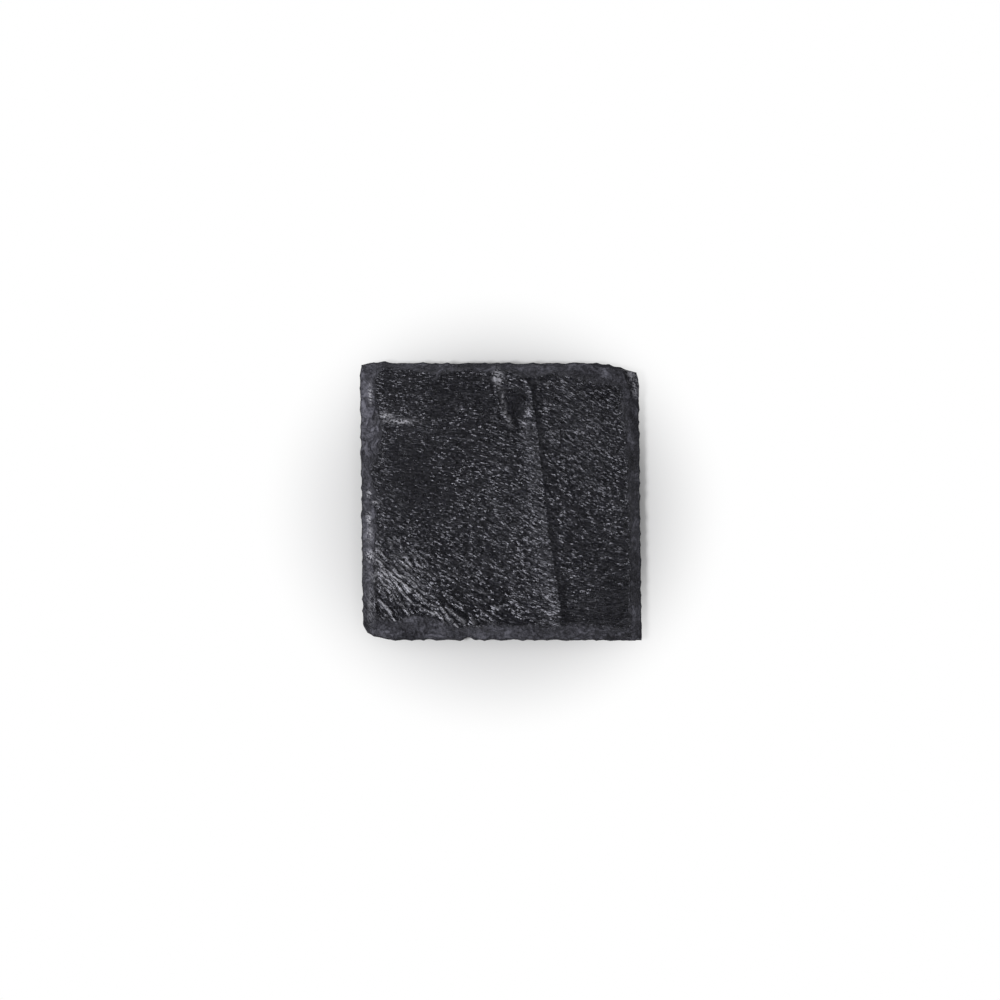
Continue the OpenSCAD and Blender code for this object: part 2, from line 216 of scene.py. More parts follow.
# Where the split tore in long steps instead, in the same way
TEAR_PATCHES = (
    (-44, -32, 14, 16, 1.15), (-24, -42, 16, 10, 0.6), (-30, -22, 14, 9, 0.35), (-4, -40, 14, 12, 0.35),
)
# Where short steps face left, and where the rim is worn round, in the same way
FACET_PATCHES = ((-1.1, 44.1, 1.9, 2.4, 1.3), (-36, 28.4, 5, 1.1, 1), (-41.5, 30, 2.5, 1.4, 1))
WORN_PATCHES = (
    (-46.4, 37.5, 3, 3.4, 1), (-46.4, -1, 3, 4.5, 1), (-46.4, -15, 3, 6, 1), (-46.4, -23.5, 3, 3, 1),
)
# How much further the rim is worn down there
WORN_MORE = 2.2
# Where pale flecks are painted, in the same way: partly crushed stone, and partly painted highlights on the
# lips, facets and rim that catch the lamp
PALE_AND_HIGHLIGHT_PATCHES = (
    (-1.1, 44.2, 1.4, 2, 2.3), (-35.5, 28.2, 4.5, 0.7, 1.8), (-40.5, 30.2, 2.2, 0.8, 1.6),
    (-46.3, 38, 0.6, 2.6, 1.8), (-46.8, 2.6, 0.7, 1.1, 2), (-44.4, -0.5, 1.1, 0.5, 1.8),
    (-46.8, -6, 0.7, 1.7, 2), (-46.6, -12, 0.9, 2.4, 1.3), (-46.4, -19.5, 1.2, 1.8, 2), (-43, -26, 4, 2, 0.5),
    (-46, -37, 1.2, 6, 0.5), (16.3, 41.5, 1, 0.5, 0.6), (-0.7, 40.6, 0.45, 2, 0.8),
    (0.6, 36.3, 0.4, 2.4, 0.75), (1.6, 32, 0.4, 2.4, 0.8), (3, 28.3, 0.5, 1.4, 0.7),
)

# Size of the underside's patch as a share of the slate's lowest ring
HEM_SHARE = 0.993

# Place of the camera over the coaster and half the floor's width, in millimetres, and the floor's steps
CAMERA_AT = (-0.25, 0.36)
FLOOR_HALF = 4000.0
FLOOR_STEPS = 8


class CoasterSlate(PropertyGroup):
    """Sizes and colours of the slate."""

    width: FloatProperty(name="Width", description="Width of the slate between its left and right edges",
                         default=0.1, unit="LENGTH")
    depth: FloatProperty(name="Depth", description="Depth of the slate between its front and back edges",
                         default=0.1, unit="LENGTH")
    thickness: FloatProperty(name="Thickness", description="Thickness of the slate at its highest point",
                             default=SLATE_BOX[1].z - SLATE_BOX[0].z, unit="LENGTH")
    lean: FloatProperty(name="Lean", description="How far the back edge stands left of the front edge",
                        default=0.0011, unit="LENGTH")
    bevel_w: FloatProperty(name="Bevel width", description="Usual width of the dressed bevel",
                           default=0.005, unit="LENGTH")
    edge_t: FloatProperty(name="Wall height", description="Height of the rough wall under the bevel",
                          default=0.0017, unit="LENGTH")
    wall_w: FloatProperty(name="Wall width", description="Width of that wall, seen from above",
                          default=0.0005, unit="LENGTH")
    under_in: FloatProperty(name="Underside draw-in", description="How far the underside draws in",
                            default=0.00035, unit="LENGTH")
    nibble_h: FloatProperty(name="Bite depth", description="Depth of the bites in the outer edge",
                            default=0.00045, unit="LENGTH")
    nibble_l: FloatProperty(name="Bite length", description="Length of a bite along the outer edge",
                            default=0.0056, unit="LENGTH")
    flake_h: FloatProperty(name="Flake depth", description="Depth of the flakes that scallop the rim",
                           default=0.0008, unit="LENGTH")
    flake_l: FloatProperty(name="Flake length", description="Length of a flake along the rim",
                           default=0.009, unit="LENGTH")
    split_x: FloatProperty(name="Split, sideways", description="How far the split sets the upper layer in",
                           default=0.0038, unit="LENGTH")
    split_y: FloatProperty(name="Split, from the back", description="The same, from the back edge",
                           default=0.0003, unit="LENGTH")
    split_run: FloatProperty(name="Split length", description="Length of the split along the right edge",
                             default=0.0136, unit="LENGTH")
    ledge_share: FloatProperty(name="Ledge height", description="Height of the bared layer, as a share",
                               default=0.25, subtype="FACTOR")
    tear_share: FloatProperty(name="Tear height", description="Height of the torn face, as a share",
                              default=0.5, subtype="FACTOR")
    wave_h: FloatProperty(name="Wave depth", description="Depth of the face's broad waves",
                          default=0.00025, unit="LENGTH")
    wave_l: FloatProperty(name="Wave length", description="Length of the face's broad waves",
                          default=0.038, unit="LENGTH")
    ridge_h: FloatProperty(name="Ridge height", description="Height of the ridge across the face",
                           default=0.00042, unit="LENGTH")
    ridge_w: FloatProperty(name="Ridge, steep side", description="Width of the ridge's steep side",
                           default=0.0006, unit="LENGTH")
    ridge_slope_w: FloatProperty(name="Ridge, gentle side", description="Width of its gentle side",
                                 default=0.0045, unit="LENGTH")
    valley_h: FloatProperty(name="Valley depth", description="Depth of the valley left of the ridge",
                            default=0.00015, unit="LENGTH")
    valley_w: FloatProperty(name="Valley width", description="Width of that valley",
                            default=0.007, unit="LENGTH")
    scar_h: FloatProperty(name="Scar depth", description="Depth of the flake scar near the back edge",
                          default=0.00055, unit="LENGTH")
    scar_l: FloatProperty(name="Scar length", description="Length of the flake scar",
                          default=0.024, unit="LENGTH")
    scar_w: FloatProperty(name="Scar width", description="Width of the flake scar",
                          default=0.013, unit="LENGTH")
    ripple_h: FloatProperty(name="Ripple depth", description="Depth of the split face's ripples",
                            default=0.0005, unit="LENGTH")
    ripple_l: FloatProperty(name="Ripple spacing", description="Usual distance between two ripples",
                            default=0.0011, unit="LENGTH")
    tear_h: FloatProperty(name="Tear depth", description="Height of the long torn steps near the front left",
                          default=0.0004, unit="LENGTH")
    tear_l: FloatProperty(name="Tear spacing", description="Distance between two of these steps",
                          default=0.0017, unit="LENGTH")
    facet_h: FloatProperty(name="Facet height", description="Height of the short steps that face left",
                           default=0.0005, unit="LENGTH")
    facet_l: FloatProperty(name="Facet spacing", description="Distance between two of the short steps",
                           default=0.0017, unit="LENGTH")
    worn_h: FloatProperty(name="Worn rim", description="How far the face drops where it meets the bevel",
                          default=0.00012, unit="LENGTH")
    worn_w: FloatProperty(name="Worn rim width", description="How far in from the rim that drop reaches",
                          default=0.0009, unit="LENGTH")
    crumb_h: FloatProperty(name="Crumbling", description="Depth of the small chips along edge and rim",
                           default=0.0002, unit="LENGTH")
    face_colour: FloatVectorProperty(name="Face colour", description="Colour of the split stone's grains",
                                     default=(0.0032, 0.0032, 0.0054), size=3, subtype="COLOR")
    # The pale colour of crushed stone, which also paints the highlights and the ledge's painted light
    bruise_and_highlight_colour: FloatVectorProperty(name="Bruise colour", description="Colour of the crushed, pale stone",
                                       default=(0.36, 0.36, 0.395), size=3, subtype="COLOR")
    bevel_colour: FloatVectorProperty(name="Edge colour", description="Colour of the bruised, dressed stone",
                                      default=(0.058, 0.0575, 0.069), size=3, subtype="COLOR")


class CoasterFeet(PropertyGroup):
    """Sizes and colours of the foam feet and of the film that holds them."""

    rim_round: FloatProperty(name="Rounding", description="Width of the rounded lower rim of a foot",
                             default=0.0003, unit="LENGTH")
    waist: FloatProperty(name="Waist", description="How far the cut side of a foot draws in half way up",
                         default=0.00015, unit="LENGTH")
    foam_colour: FloatVectorProperty(name="Foam colour", description="Colour of the foam",
                                     default=(0.012, 0.012, 0.013), size=3, subtype="COLOR")
    film_colour: FloatVectorProperty(name="Film colour", description="Colour of the adhesive film",
                                     default=(0.70, 0.68, 0.62), size=3, subtype="COLOR")


class CoasterStage(PropertyGroup):
    """Light, floor and camera."""

    camera_height: FloatProperty(name="Camera height", description="Height of the camera above the face",
                                 default=0.984, unit="LENGTH")
    lens: FloatProperty(name="Lens", description="Focal length of the camera", default=100,
                        unit="CAMERA")
    lamp_power: FloatProperty(name="Lamp power", description="Power of the lamp at the left",
                              default=6.3, unit="POWER")
    lamp_away: FloatProperty(name="Lamp distance", description="Distance of the lamp from the coaster",
                             default=1.0, unit="LENGTH")
    lamp_size: FloatProperty(name="Lamp size", description="Diameter of the round lamp", default=0.34,
                             unit="LENGTH")
    lamp_height: FloatProperty(name="Lamp elevation", description="Angle of the lamp above the floor",
                               default=math.radians(52), subtype="ANGLE")
    lamp_turn: FloatProperty(name="Lamp turn", description="Angle of the lamp from the left to the front",
                             default=math.radians(13), subtype="ANGLE")
    sky: FloatProperty(name="Walls", description="Strength of the light from the sides of the room",
                       default=1.0)
    ceiling: FloatProperty(name="Ceiling", description="Strength of the light from overhead", default=0.025)
    floor_colour: FloatVectorProperty(name="Floor colour", description="Colour of the floor",
                                      default=(0.81, 0.81, 0.815), size=3, subtype="COLOR")


# Plain helpers


def millimetres(sizes):
    """The numbers of a property group by name, with its lengths in millimetres and its shares as they are."""
    found = {}
    for name, prop in sizes.bl_rna.properties.items():
        if prop.type == "FLOAT" and not prop.is_array:
            found[name] = getattr(sizes, name) * (1 / MM if prop.unit == "LENGTH" else 1)
    return SimpleNamespace(**found)


def mix(a, b, share):
    """a at share 0 and b at share 1, on a straight line between them."""
    return a + (b - a) * share


def smooth(share):
    """Smooth step: 3 c squared less 2 c cubed, where c is the share held between 0 and 1."""
    c = np.clip(share, 0, 1)
    return c * c * (3 - 2 * c)


def fade(s, run, hollow):
    """1 at s = 0 falling to 0 at s = run, as (1 - s / run) to the power hollow."""
    return np.clip(1 - np.maximum(s, 0) / run, 0, 1) ** hollow


def bump(s, half):
    """A single swell: the squared cosine of a quarter turn times s / half, and 0 beyond half."""
    return np.where(np.abs(s) < half, np.cos(np.pi / 2 * s / half) ** 2, 0)


def chance(n):
    """A fixed number from 0 to 1 for each whole number: the fraction of 43.7585 sin(127.1 n degrees)."""
    v = np.sin(np.radians(n * 127.1)) * 43.7585
    return v - np.floor(v)


def along_table(table, at):
    """A curve through a table's rows: in each interval a smooth step between the two values, plus
    run q (1 - q) times the slope at either end, where q is the share of the interval passed."""
    x, y = np.array(table, float).T
    before = np.maximum(np.arange(len(x)) - 1, 0)
    after = np.minimum(np.arange(len(x)) + 1, len(x) - 1)
    slope = (y[after] - y[before]) / (x[after] - x[before])
    row = np.searchsorted(x[1:-1], at, side="left")
    run = x[row + 1] - x[row]
    q = np.clip((at - x[row]) / run, 0, 1)
    return mix(y[row], y[row + 1], smooth(q)) + run * q * (1 - q) * (
        slope[row] * (1 - q) - slope[row + 1] * q)


def stone_noise(a, b, c, seed):
    """Gradient noise from about -1 to 1. Each corner of a unit lattice has a fixed direction, and a point's
    value is the eight dot products of these with its offsets, joined by the smooth step of fifth degree,
    times 1.6."""
    draw = np.random.default_rng(seed)
    directions = draw.normal(size=(256, 3))
    directions /= np.linalg.norm(directions, axis=1)[:, None]
    order = draw.permutation(256)
    place = np.stack(np.broadcast_arrays(a, b, c), -1).astype(float)
    cell = np.floor(place).astype(int)
    part = place - cell
    ease = part ** 3 * (part * (part * 6 - 15) + 10)
    total = np.zeros(place.shape[:-1])
    for corner in np.ndindex(2, 2, 2):
        at = cell + corner
        pick = order[(at[..., 0] + order[(at[..., 1] + order[at[..., 2] & 255]) & 255]) & 255]
        weight = np.prod(np.where(corner, ease, 1 - ease), axis=-1)
        total += weight * np.sum(directions[pick] * (part - corner), axis=-1)
    return total * 1.6


# The slate's outline, in plan

# Bites: how slowly their places drift, in pitches, and the least depth
BITE_DRIFT = 3.7
LEAST_BITE_SHARE = 0.35
# Crumbs: length in millimetres, how much they cut, and the level and seed of the noise; and their mean cut
CRUMBS = ((2.3, 0.6, 0.5, 11), (0.8, 0.35, 3.5, 12))
CRUMBS_MEAN = 0.45
# How fast the split's bared layer comes in along the side
BARING = 2.2


def bites(side, s, depth, pitch):
    """Depth of a run of hollow bites at distance s along a side. The place along it is s plus a slow sine
    of a quarter pitch, each bite is the parabola 4 q (1 - q), and each has its own depth by chance."""
    shifted = s + pitch / 4 * np.sin(np.radians(360 * s / (pitch * BITE_DRIFT) + 90 * side))
    bite = np.floor(shifted / pitch)
    q = shifted / pitch - bite
    return depth * mix(LEAST_BITE_SHARE, 1, chance(bite + 31 * side + 7)) * 4 * q * (1 - q)


def crumbs(side, s, depth):
    """Depth of the small chips along an edge: coarse and fine noise along the side, never below zero."""
    noise = (cut * stone_noise(s / length, side * 9.7, level, seed) for length, cut, level, seed in CRUMBS)
    return depth * np.clip(sum(noise, CRUMBS_MEAN), 0, None)


def wander(size, side, s):
    """Slow departures of an edge: the back one stands proud at one place, and the front one has a bite."""
    if side == BACK:
        share, at, half = PROUD_SHARES
        return size.depth * share * (1 - bump(s - at * size.width, half * size.width))
    if side == FRONT:
        share, at, half = NOTCH_SHARES
        return size.depth * share * bump(s - at * size.width, half * size.width)
    return 0 * s


def open_inset(size, side, s, ring):
    """Inset of a ring from its straight side, before the corners are worn: bites, slow departures, the
    ring's shares of the draw-in and the wall, and its share of the bevel's width with flakes in it."""
    under, wall, bevel = RING_SHARES[ring][:3]
    length = size.depth if side % 2 else size.width
    inset = bites(side, s, size.nibble_h, size.nibble_l) * (1 - bevel) + wander(size, side, s)
    inset = inset + under * size.under_in + wall * size.wall_w + crumbs(side, s, size.crumb_h)
    return inset + bevel * (size.bevel_w * along_table(BEVEL_SHARES[side], s / length)
                            + bites(side, s, size.flake_h, size.flake_l)
                            + 2 * crumbs(side + 4, s, size.crumb_h))


def corner_row(size, corner, ring):
    """A worn corner's row in real lengths. At the back right the upper layer is split off further back."""
    w = WORN_SHARES[corner]
    worn = (w[0] * size.width, w[1] * size.depth, w[2] * size.width, w[3] * size.depth, *w[4:])
    if corner != BACK or ring <= LEDGE_RIM:
        return worn
    lower_edge = mix(size.depth * PROUD_SHARES[0] + size.nibble_h, worn[1],
                     fade(size.split_x, worn[2], worn[4]))
    return (worn[0] + size.split_x, lower_edge + size.split_y, SPLIT_BACK_SHARE * size.width,
            size.split_run, SPLIT_BACK_HOLLOW, SPLIT_SIDE_HOLLOW, *worn[6:])


def corner_insets(size, corner, ring):
    """Insets of a ring at a corner: the worn insets, the ring's draw-in and wall, and its bevel share."""
    row = corner_row(size, corner, ring)
    under, wall, bevel = RING_SHARES[ring][:3]
    more = under * size.under_in + wall * size.wall_w
    return row[0] + more + bevel * row[6] * size.bevel_w, row[1] + more + bevel * row[7] * size.bevel_w


def ring_plan(size, side, t, ring):
    """Plan points of a ring at shares t along a side. The distance along the side draws away from the two
    corners, the inset is the open one plus what each corner adds, which fades along its run, and the
    whole outline leans to the left towards the back."""
    length = size.depth if side % 2 else size.width
    cross = 1 - side % 2
    first, last = corner_row(size, side, ring), corner_row(size, (side + 1) % 4, ring)
    first_insets, last_insets = corner_insets(size, side, ring), corner_insets(size, (side + 1) % 4, ring)
    start, end = first_insets[1 - cross], length - last_insets[1 - cross]
    s = (t * length + start * (1 - np.minimum(1, t / SETTLE_SHARE))
         - (length - end) * (1 - np.minimum(1, (1 - t) / SETTLE_SHARE)))
    first_more = first_insets[cross] - open_inset(size, side, np.array(start), ring)
    last_more = last_insets[cross] - open_inset(size, side, np.array(end), ring)
    inset = (open_inset(size, side, s, ring)
             + first_more * fade(s - start, first[3 - cross], first[5 - cross])
             + last_more * fade(end - s, last[3 - cross], last[5 - cross]))
    half_w, half_d = size.width / 2, size.depth / 2
    x, y = ((s - half_w, inset - half_d), (half_w - inset, s - half_d),
            (half_w - s, half_d - inset), (inset - half_w, half_d - s))[side]
    return np.stack([x - size.lean * y / size.depth, y], -1)


def column_share(q, v):
    """Share of the face's width at a column, in two straight runs that meet on the ridge's line."""
    ridge, turn = along_table(RIDGE_SHARES, v), RIDGE_COLUMN / COLUMNS
    return np.where(q < turn, ridge * q / turn, mix(ridge, 1, (q - turn) / (1 - turn)))


def side_places(side):
    """Shares along a side at the steps of the mesh, from its first corner up to but not at its last."""
    steps = ROWS if side % 2 else COLUMNS
    q = np.arange(steps) / steps
    if side == FRONT:
        return column_share(q, np.zeros_like(q))
    if side == BACK:
        return 1 - column_share(1 - q, np.ones_like(q))
    return q


def bared(size, side, t):
    """How far the lower layer is bared: a smooth step along the split, and one that dies out at the back."""
    if side == RIGHT:
        return smooth(BARING * (1 - (1 - t) * size.depth / size.split_run))
    if side == BACK:
        return smooth(1 - t / LEDGE_END_SHARE)
    return 0 * t


# The riven face

# The ridge's right side: share of the drop that stays, and how slowly the rest recovers, in widths of the
# gentle side
RIDGE_DROP_SHARE = 0.3
RIDGE_RECOVERY = 3
# Slow waves of the face: share of the depth, direction, length in wave lengths, and shift in degrees
BROAD_WAVES = ((0.5, 0.82, 0.57, 1, 60), (0.3, 0.4, -0.92, 0.71, 200), (0.2, 0.95, 0.3, 0.47, 0))
# Half the span of the grain's polynomials, in millimetres
GRAIN_SPAN = 50.0


def ridge_profile(size, dx):
    """The ridge across its line: an exponential rise on the gentle left side, and on the right a sharp
    exponential drop, part of which recovers slowly."""
    left = size.ridge_h * (np.exp(np.minimum(dx, 0) / size.ridge_slope_w) - 1)
    d = np.maximum(dx, 0)
    recovered = 1 - np.exp(-d / (RIDGE_RECOVERY * size.ridge_slope_w))
    right = -size.ridge_h * (mix(1, RIDGE_DROP_SHARE, recovered) - np.exp(-d / size.ridge_w))
    return np.where(dx < 0, left, right)


def scar_shape(size, p):
    """How deep a point lies in the flake scar, as a share. Inside is what an oval's two squared shares
    leave of 1, where the oval is wider on its right. The floor is the smooth step of that times the wall's
    steepness, and its own depth is less towards the right. A low lip, a bell curve on the oval's border,
    stands along the left side."""
    dx = p[..., 0] - SCAR_AT_SHARES[0] * size.width / 2
    dy = p[..., 1] - SCAR_AT_SHARES[1] * size.depth / 2
    cross = dx * math.cos(SCAR_TURN) + dy * math.sin(SCAR_TURN)
    along = dy * math.cos(SCAR_TURN) - dx * math.sin(SCAR_TURN)
    half = size.scar_w * np.where(cross < 0, SCAR_LEFT_SHARE, 1 - SCAR_LEFT_SHARE)
    inside = 1 - (cross / half) ** 2 - (2 * along / size.scar_l) ** 2
    floor = smooth(mix(*SCAR_WALLS, smooth(cross / half)) * inside)
    left, right = SCAR_RISE_SHARES
    floor = floor * mix(*SCAR_FLOOR_SHARES, smooth((cross / size.scar_w - left) / (right - left)))
    lip = SCAR_LIP_SHARE * np.exp(-(inside / SCAR_LIP_REACH) ** 2) * smooth(-cross / SCAR_LIP_FADE)
    return floor - lip


def broad_face(size, p, off_ridge, off_valley):
    """Height of the face's broad form: three slow sine waves, the ridge, less a bell-shaped valley and the
    flake scar."""
    x, y = p[..., 0], p[..., 1]
    waves = sum(share * np.sin(np.radians(360 * (ax * x + ay * y) / (span * size.wave_l) + shift))
                for share, ax, ay, span, shift in BROAD_WAVES)
    return (size.wave_h * waves + ridge_profile(size, off_ridge)
            - size.valley_h * np.exp(-(off_valley / size.valley_w) ** 2)
            - size.scar_h * scar_shape(size, p))


def grain_field(p):
    """Two coordinates of the stone's grain at plan points, across the ripples and along them. Each is the
    polynomial of fourth degree whose slopes come nearest, by least squares, to none down the lines of
    GRAIN_LINES and one square to them, or the other way round."""
    x, y, fall = (np.array(column, float) for column in zip(*GRAIN_LINES))
    x, y = x / GRAIN_SPAN, y / GRAIN_SPAN
    in_x = np.stack([i * x ** max(i - 1, 0) * y ** j for i, j in GRAIN_POWERS], -1)
    in_y = np.stack([j * x ** i * y ** max(j - 1, 0) for i, j in GRAIN_POWERS], -1)
    sine, cosine = np.sin(np.radians(fall))[:, None], np.cos(np.radians(fall))[:, None]
    down, square = cosine * in_x - sine * in_y, sine * in_x + cosine * in_y
    u, v = p[..., 0] / GRAIN_SPAN, p[..., 1] / GRAIN_SPAN
    terms = np.stack([u ** i * v ** j for i, j in GRAIN_POWERS], -1)
    wanted = np.concatenate([0 * x, 0 * x + GRAIN_SPACING_WEIGHT])
    fits = [np.linalg.lstsq(np.concatenate([level, GRAIN_SPACING_WEIGHT * steep]), wanted, rcond=None)[0]
            for level, steep in ((down, square), (square, down))]
    return [GRAIN_SPAN * terms @ fit for fit in fits]


def patches(table, p):
    """Sum of a table's patches at plan points, each a bell curve about its middle."""
    x, y = p[..., 0], p[..., 1]
    return sum(amount * np.exp(-((x - mx) / rx) ** 2 - ((y - my) / ry) ** 2)
               for mx, my, rx, ry, amount in table)


def facet_lean(p, off_ridge):
    """How far the small facets lean towards the lamp at plan points so far right of the ridge's line."""
    bands = sum(amount * np.exp(-((off_ridge - at) / reach) ** 2) for at, reach, amount in LEAN_BANDS)
    fading = smooth((LEAN_BANDS_END - p[..., 1]) / LEAN_BANDS_FADE)
    return LEAN_EVERYWHERE + patches(LEAN_PATCHES, p) + bands * fading


def torn(p):
    """How far the long torn steps take the place of the ripples, from 0 to 1."""
    return np.clip(patches(TEAR_PATCHES, p), 0, 1)


def step_wave(turns, rise, fall):
    """A wave that climbs from 0 to 1 over the share rise of each turn, falls back over the share fall, both
    as smooth steps, and stays at 0 for the rest."""
    q = turns - np.floor(turns)
    return np.where(q < rise, smooth(q / rise), smooth((rise + fall - q) / fall))


def ripples(size, p, strength):
    """Depth of the split's ripples below the broad face, where strength is their share, and how far each
    point lies up one of the long torn steps. The ripples are noise stretched along the grain, in three
    layers. Their height moves the place across the grain on, so each left flank is the steeper. The long
    steps are a wave across the grain, bent by noise, whose height comes and goes along it. The short steps
    climb to the right, so that they face left, and fall back sharply."""
    across, along = grain_field(p)

    def layer(cell, level, seed, shift=0.0):
        """Noise in cells of that size across and along the grain, in millimetres, moved across by shift."""
        return stone_noise(across / cell[0] + shift, along / cell[1], level, seed)

    high_cell, low_cell, broad_cell = np.array(RIPPLE_CELLS) * size.ripple_l
    bend = RIPPLE_BEND * layer(RIPPLE_BENDS, 0.3, 21)
    high = layer(high_cell, 1.5, 22, bend)
    high = layer(high_cell, 1.5, 22, bend + RIPPLE_SKEW * high)
    low = layer(low_cell, 4.5, 23, bend + RIPPLE_SKEW * high)
    broad = layer(broad_cell, 9.5, 25)
    cuts = zip(RIPPLE_CUTS, (high, low, broad))
    depth = np.clip(RIPPLE_LEVEL - sum(cut * noise for cut, noise in cuts), 0, None)

    tears = torn(p)
    (wide, narrow), (wide_turns, narrow_turns) = TEAR_BENDS, TEAR_BEND_TURNS
    turns = across / size.tear_l + wide_turns * layer(wide, 2.5, 26) + narrow_turns * layer(narrow, 3.5, 28)
    height = np.clip(TEAR_MEAN + layer(TEAR_HEIGHT_CELLS, 6.5, 27), LEAST_TEAR, 1)
    up = tears * height * step_wave(turns, TEAR_CLIMB, STEP_FALL)
    short = np.clip(patches(FACET_PATCHES, p), 0, 1)
    short_turns = (p[..., 0] + FACET_SLANT * p[..., 1]) / size.facet_l + FACET_BEND * low
    short_cut = short * (1 - step_wave(short_turns, FACET_CLIMB, STEP_FALL))
    kept = strength * (1 - TEARS_TAKE * tears) * (1 - FACETS_TAKE * short)
    return size.ripple_h * kept * depth + size.tear_h * (tears - up) + size.facet_h * short_cut, up


# The slate's mesh

# Noise of the edge: its size in plan and in height, in millimetres
EDGE_LAYERS = (4, 0.32)
EDGE_GRIT = (0.9, 0.6)
EDGE_SHELLS = (3.4, 2.4)
# How deep layers and grit cut into the wall, and layers, grit and shells into the bevel, how much deeper the
# rim lies, and how far in the chipped edge lies at the least, in millimetres
WALL_CUTS = (0.16, 0.07)
BEVEL_CUTS = (0.08, 0.06, 0.34)
RIM_MORE = 0.16
EDGE_CUT = 0.03
# Relief of the underside: size and height of its broad noise, and size across and along the grain, height,
# level and seed of its ripples; and over what distances it fades in beside a foot and from the border
UNDER_BROAD = (17, 0.16)
UNDER_RIPPLES = ((2.4, 14, 0.05, 6.5, 42), (1.5, 9, 0.04, 8.5, 43))
FOOT_FADE = (0.3, 4)
BORDER_FADE = (1.2, 3)
# How far dressed the rim is, and over how many rings and millimetres that comes and goes
RIM_DRESSED = 0.5
DRESSED_RINGS = 0.5
DRESSED_REACH = 1.3
# Where the ledge is bared more than this, the wall is no longer dressed
BARED = 0.3
# Painted shade in the crack of the split corner and painted light on its ledge: rings above the ledge's
# rim, and reach in rings
CRACK_SHADE_RINGS = (1.3, 0.6)
LIT_LEDGE_RINGS = (0.4, 0.5)
LEDGE_LIGHT = 0.7
# How much painted highlight the tops of the torn steps get, and the power that keeps this to the tops
TOPS_HIGHLIGHT = 4
TOPS_POWER = 2.4
# Profile of a foot: shares of the radius on the flat below and on top, steps of its round and of its side
FOOT_BELOW_SHARES = (0.25, 0.5, 0.75, 0.9)
FOOT_TOP_SHARES = (0.9, 0.6, 0.3)
FOOT_ROUND_STEPS = 6
FOOT_SIDE_STEPS = 9
# Waver of a foot's cut side: depth and height in millimetres, waves round the foot, and share on the round
WAVER = 0.035
WAVER_HEIGHT = 0.7
WAVER_ROUND = 3.1
WAVER_SHARE = 0.2


def even_patch(corners, sides, u, v):
    """A patch between four corners: the even mix of the four at shares u and v, plus how far each side
    departs from its straight line, which dies out away from that side as (1 - q) to the power RIM_HOLD."""
    front, right, back, left = sides
    c = [np.asarray(corner) for corner in corners]
    u, v = u[..., None], v[..., None]
    even = mix(mix(c[0], c[1], u), mix(c[3], c[2], u), v)
    return (even + (front - mix(c[0], c[1], u)) * (1 - v) ** RIM_HOLD
            + (back - mix(c[3], c[2], u)) * v ** RIM_HOLD
            + (left - mix(c[0], c[3], v)) * (1 - u) ** RIM_HOLD
            + (right - mix(c[1], c[2], v)) * u ** RIM_HOLD)


def slate_rings(size):
    """Plan points of the edge's rings, from the underside's up to the rim's, and how far the lower layer is
    bared at each place along them."""
    places = [side_places(side) for side in range(4)]
    plans = [np.concatenate([ring_plan(size, side, places[side], ring) for side in range(4)])
             for ring in range(RIM + 1)]
    return plans, np.concatenate([bared(size, side, places[side]) for side in range(4)])


def ring_heights(size, rim_z, bare):
    """Heights of the rings above the underside. A ring's height is its share of the wall plus its share of
    the rise to the rim, except where the lower layer is bared, where it is the ledge, its front or the
    torn face above."""
    ledge_z = mix(size.edge_t, rim_z, size.ledge_share)
    tear_z = mix(ledge_z, rim_z, size.tear_share)
    heights = []
    for ring, (_, _, _, wall, rise) in enumerate(RING_SHARES):
        whole = wall * size.edge_t + rise * (rim_z - size.edge_t)
        split = mix(tear_z, rim_z, rise)
        if ring < LEDGE_RIM:
            split = whole
        elif ring == LEDGE_RIM:
            split = wall * ledge_z
        elif ring == LEDGE_RIM + 1:
            split = ledge_z
        heights.append(mix(whole, split, bare))
    return heights


def border(rows, columns):
    """Rows and columns of the points round the border of a grid, anticlockwise from its front left."""
    front = [(0, c) for c in range(columns)]
    right = [(r, columns) for r in range(rows)]
    back = [(rows, c) for c in range(columns, 0, -1)]
    left = [(r, 0) for r in range(rows, 0, -1)]
    return tuple(np.array(front + right + back + left).T)


def even_shares(columns, rows):
    """Shares across and along a grid of so many even columns and rows."""
    return np.meshgrid(np.arange(columns + 1) / columns, np.arange(rows + 1) / rows)


def numbered(shape, first=0):
    """Whole numbers from first on, in an array of that shape."""
    return np.arange(math.prod(shape)).reshape(shape) + first


def grid_quads(number):
    """Four-sided cells between neighbouring rows and columns of point numbers."""
    return np.stack([number[:-1, :-1], number[:-1, 1:], number[1:, 1:], number[1:, :-1]], -1).reshape(-1, 4)


def closed_quads(number):
    """The same, where each row runs round and joins up with itself."""
    return grid_quads(np.column_stack([number, number[:, 0]]))


def vertex_normals(points, quads):
    """Unit normals at the points: the summed cross products of the diagonals of the quads round each."""
    a, b, c, d = (points[quads[:, n]] for n in range(4))
    across = np.cross(c - a, d - b)
    total = np.stack([sum(np.bincount(quads[:, n], across[:, axis], len(points)) for n in range(4))
                      for axis in range(3)], -1)
    return total / np.maximum(np.linalg.norm(total, axis=1), 1e-12)[:, None]


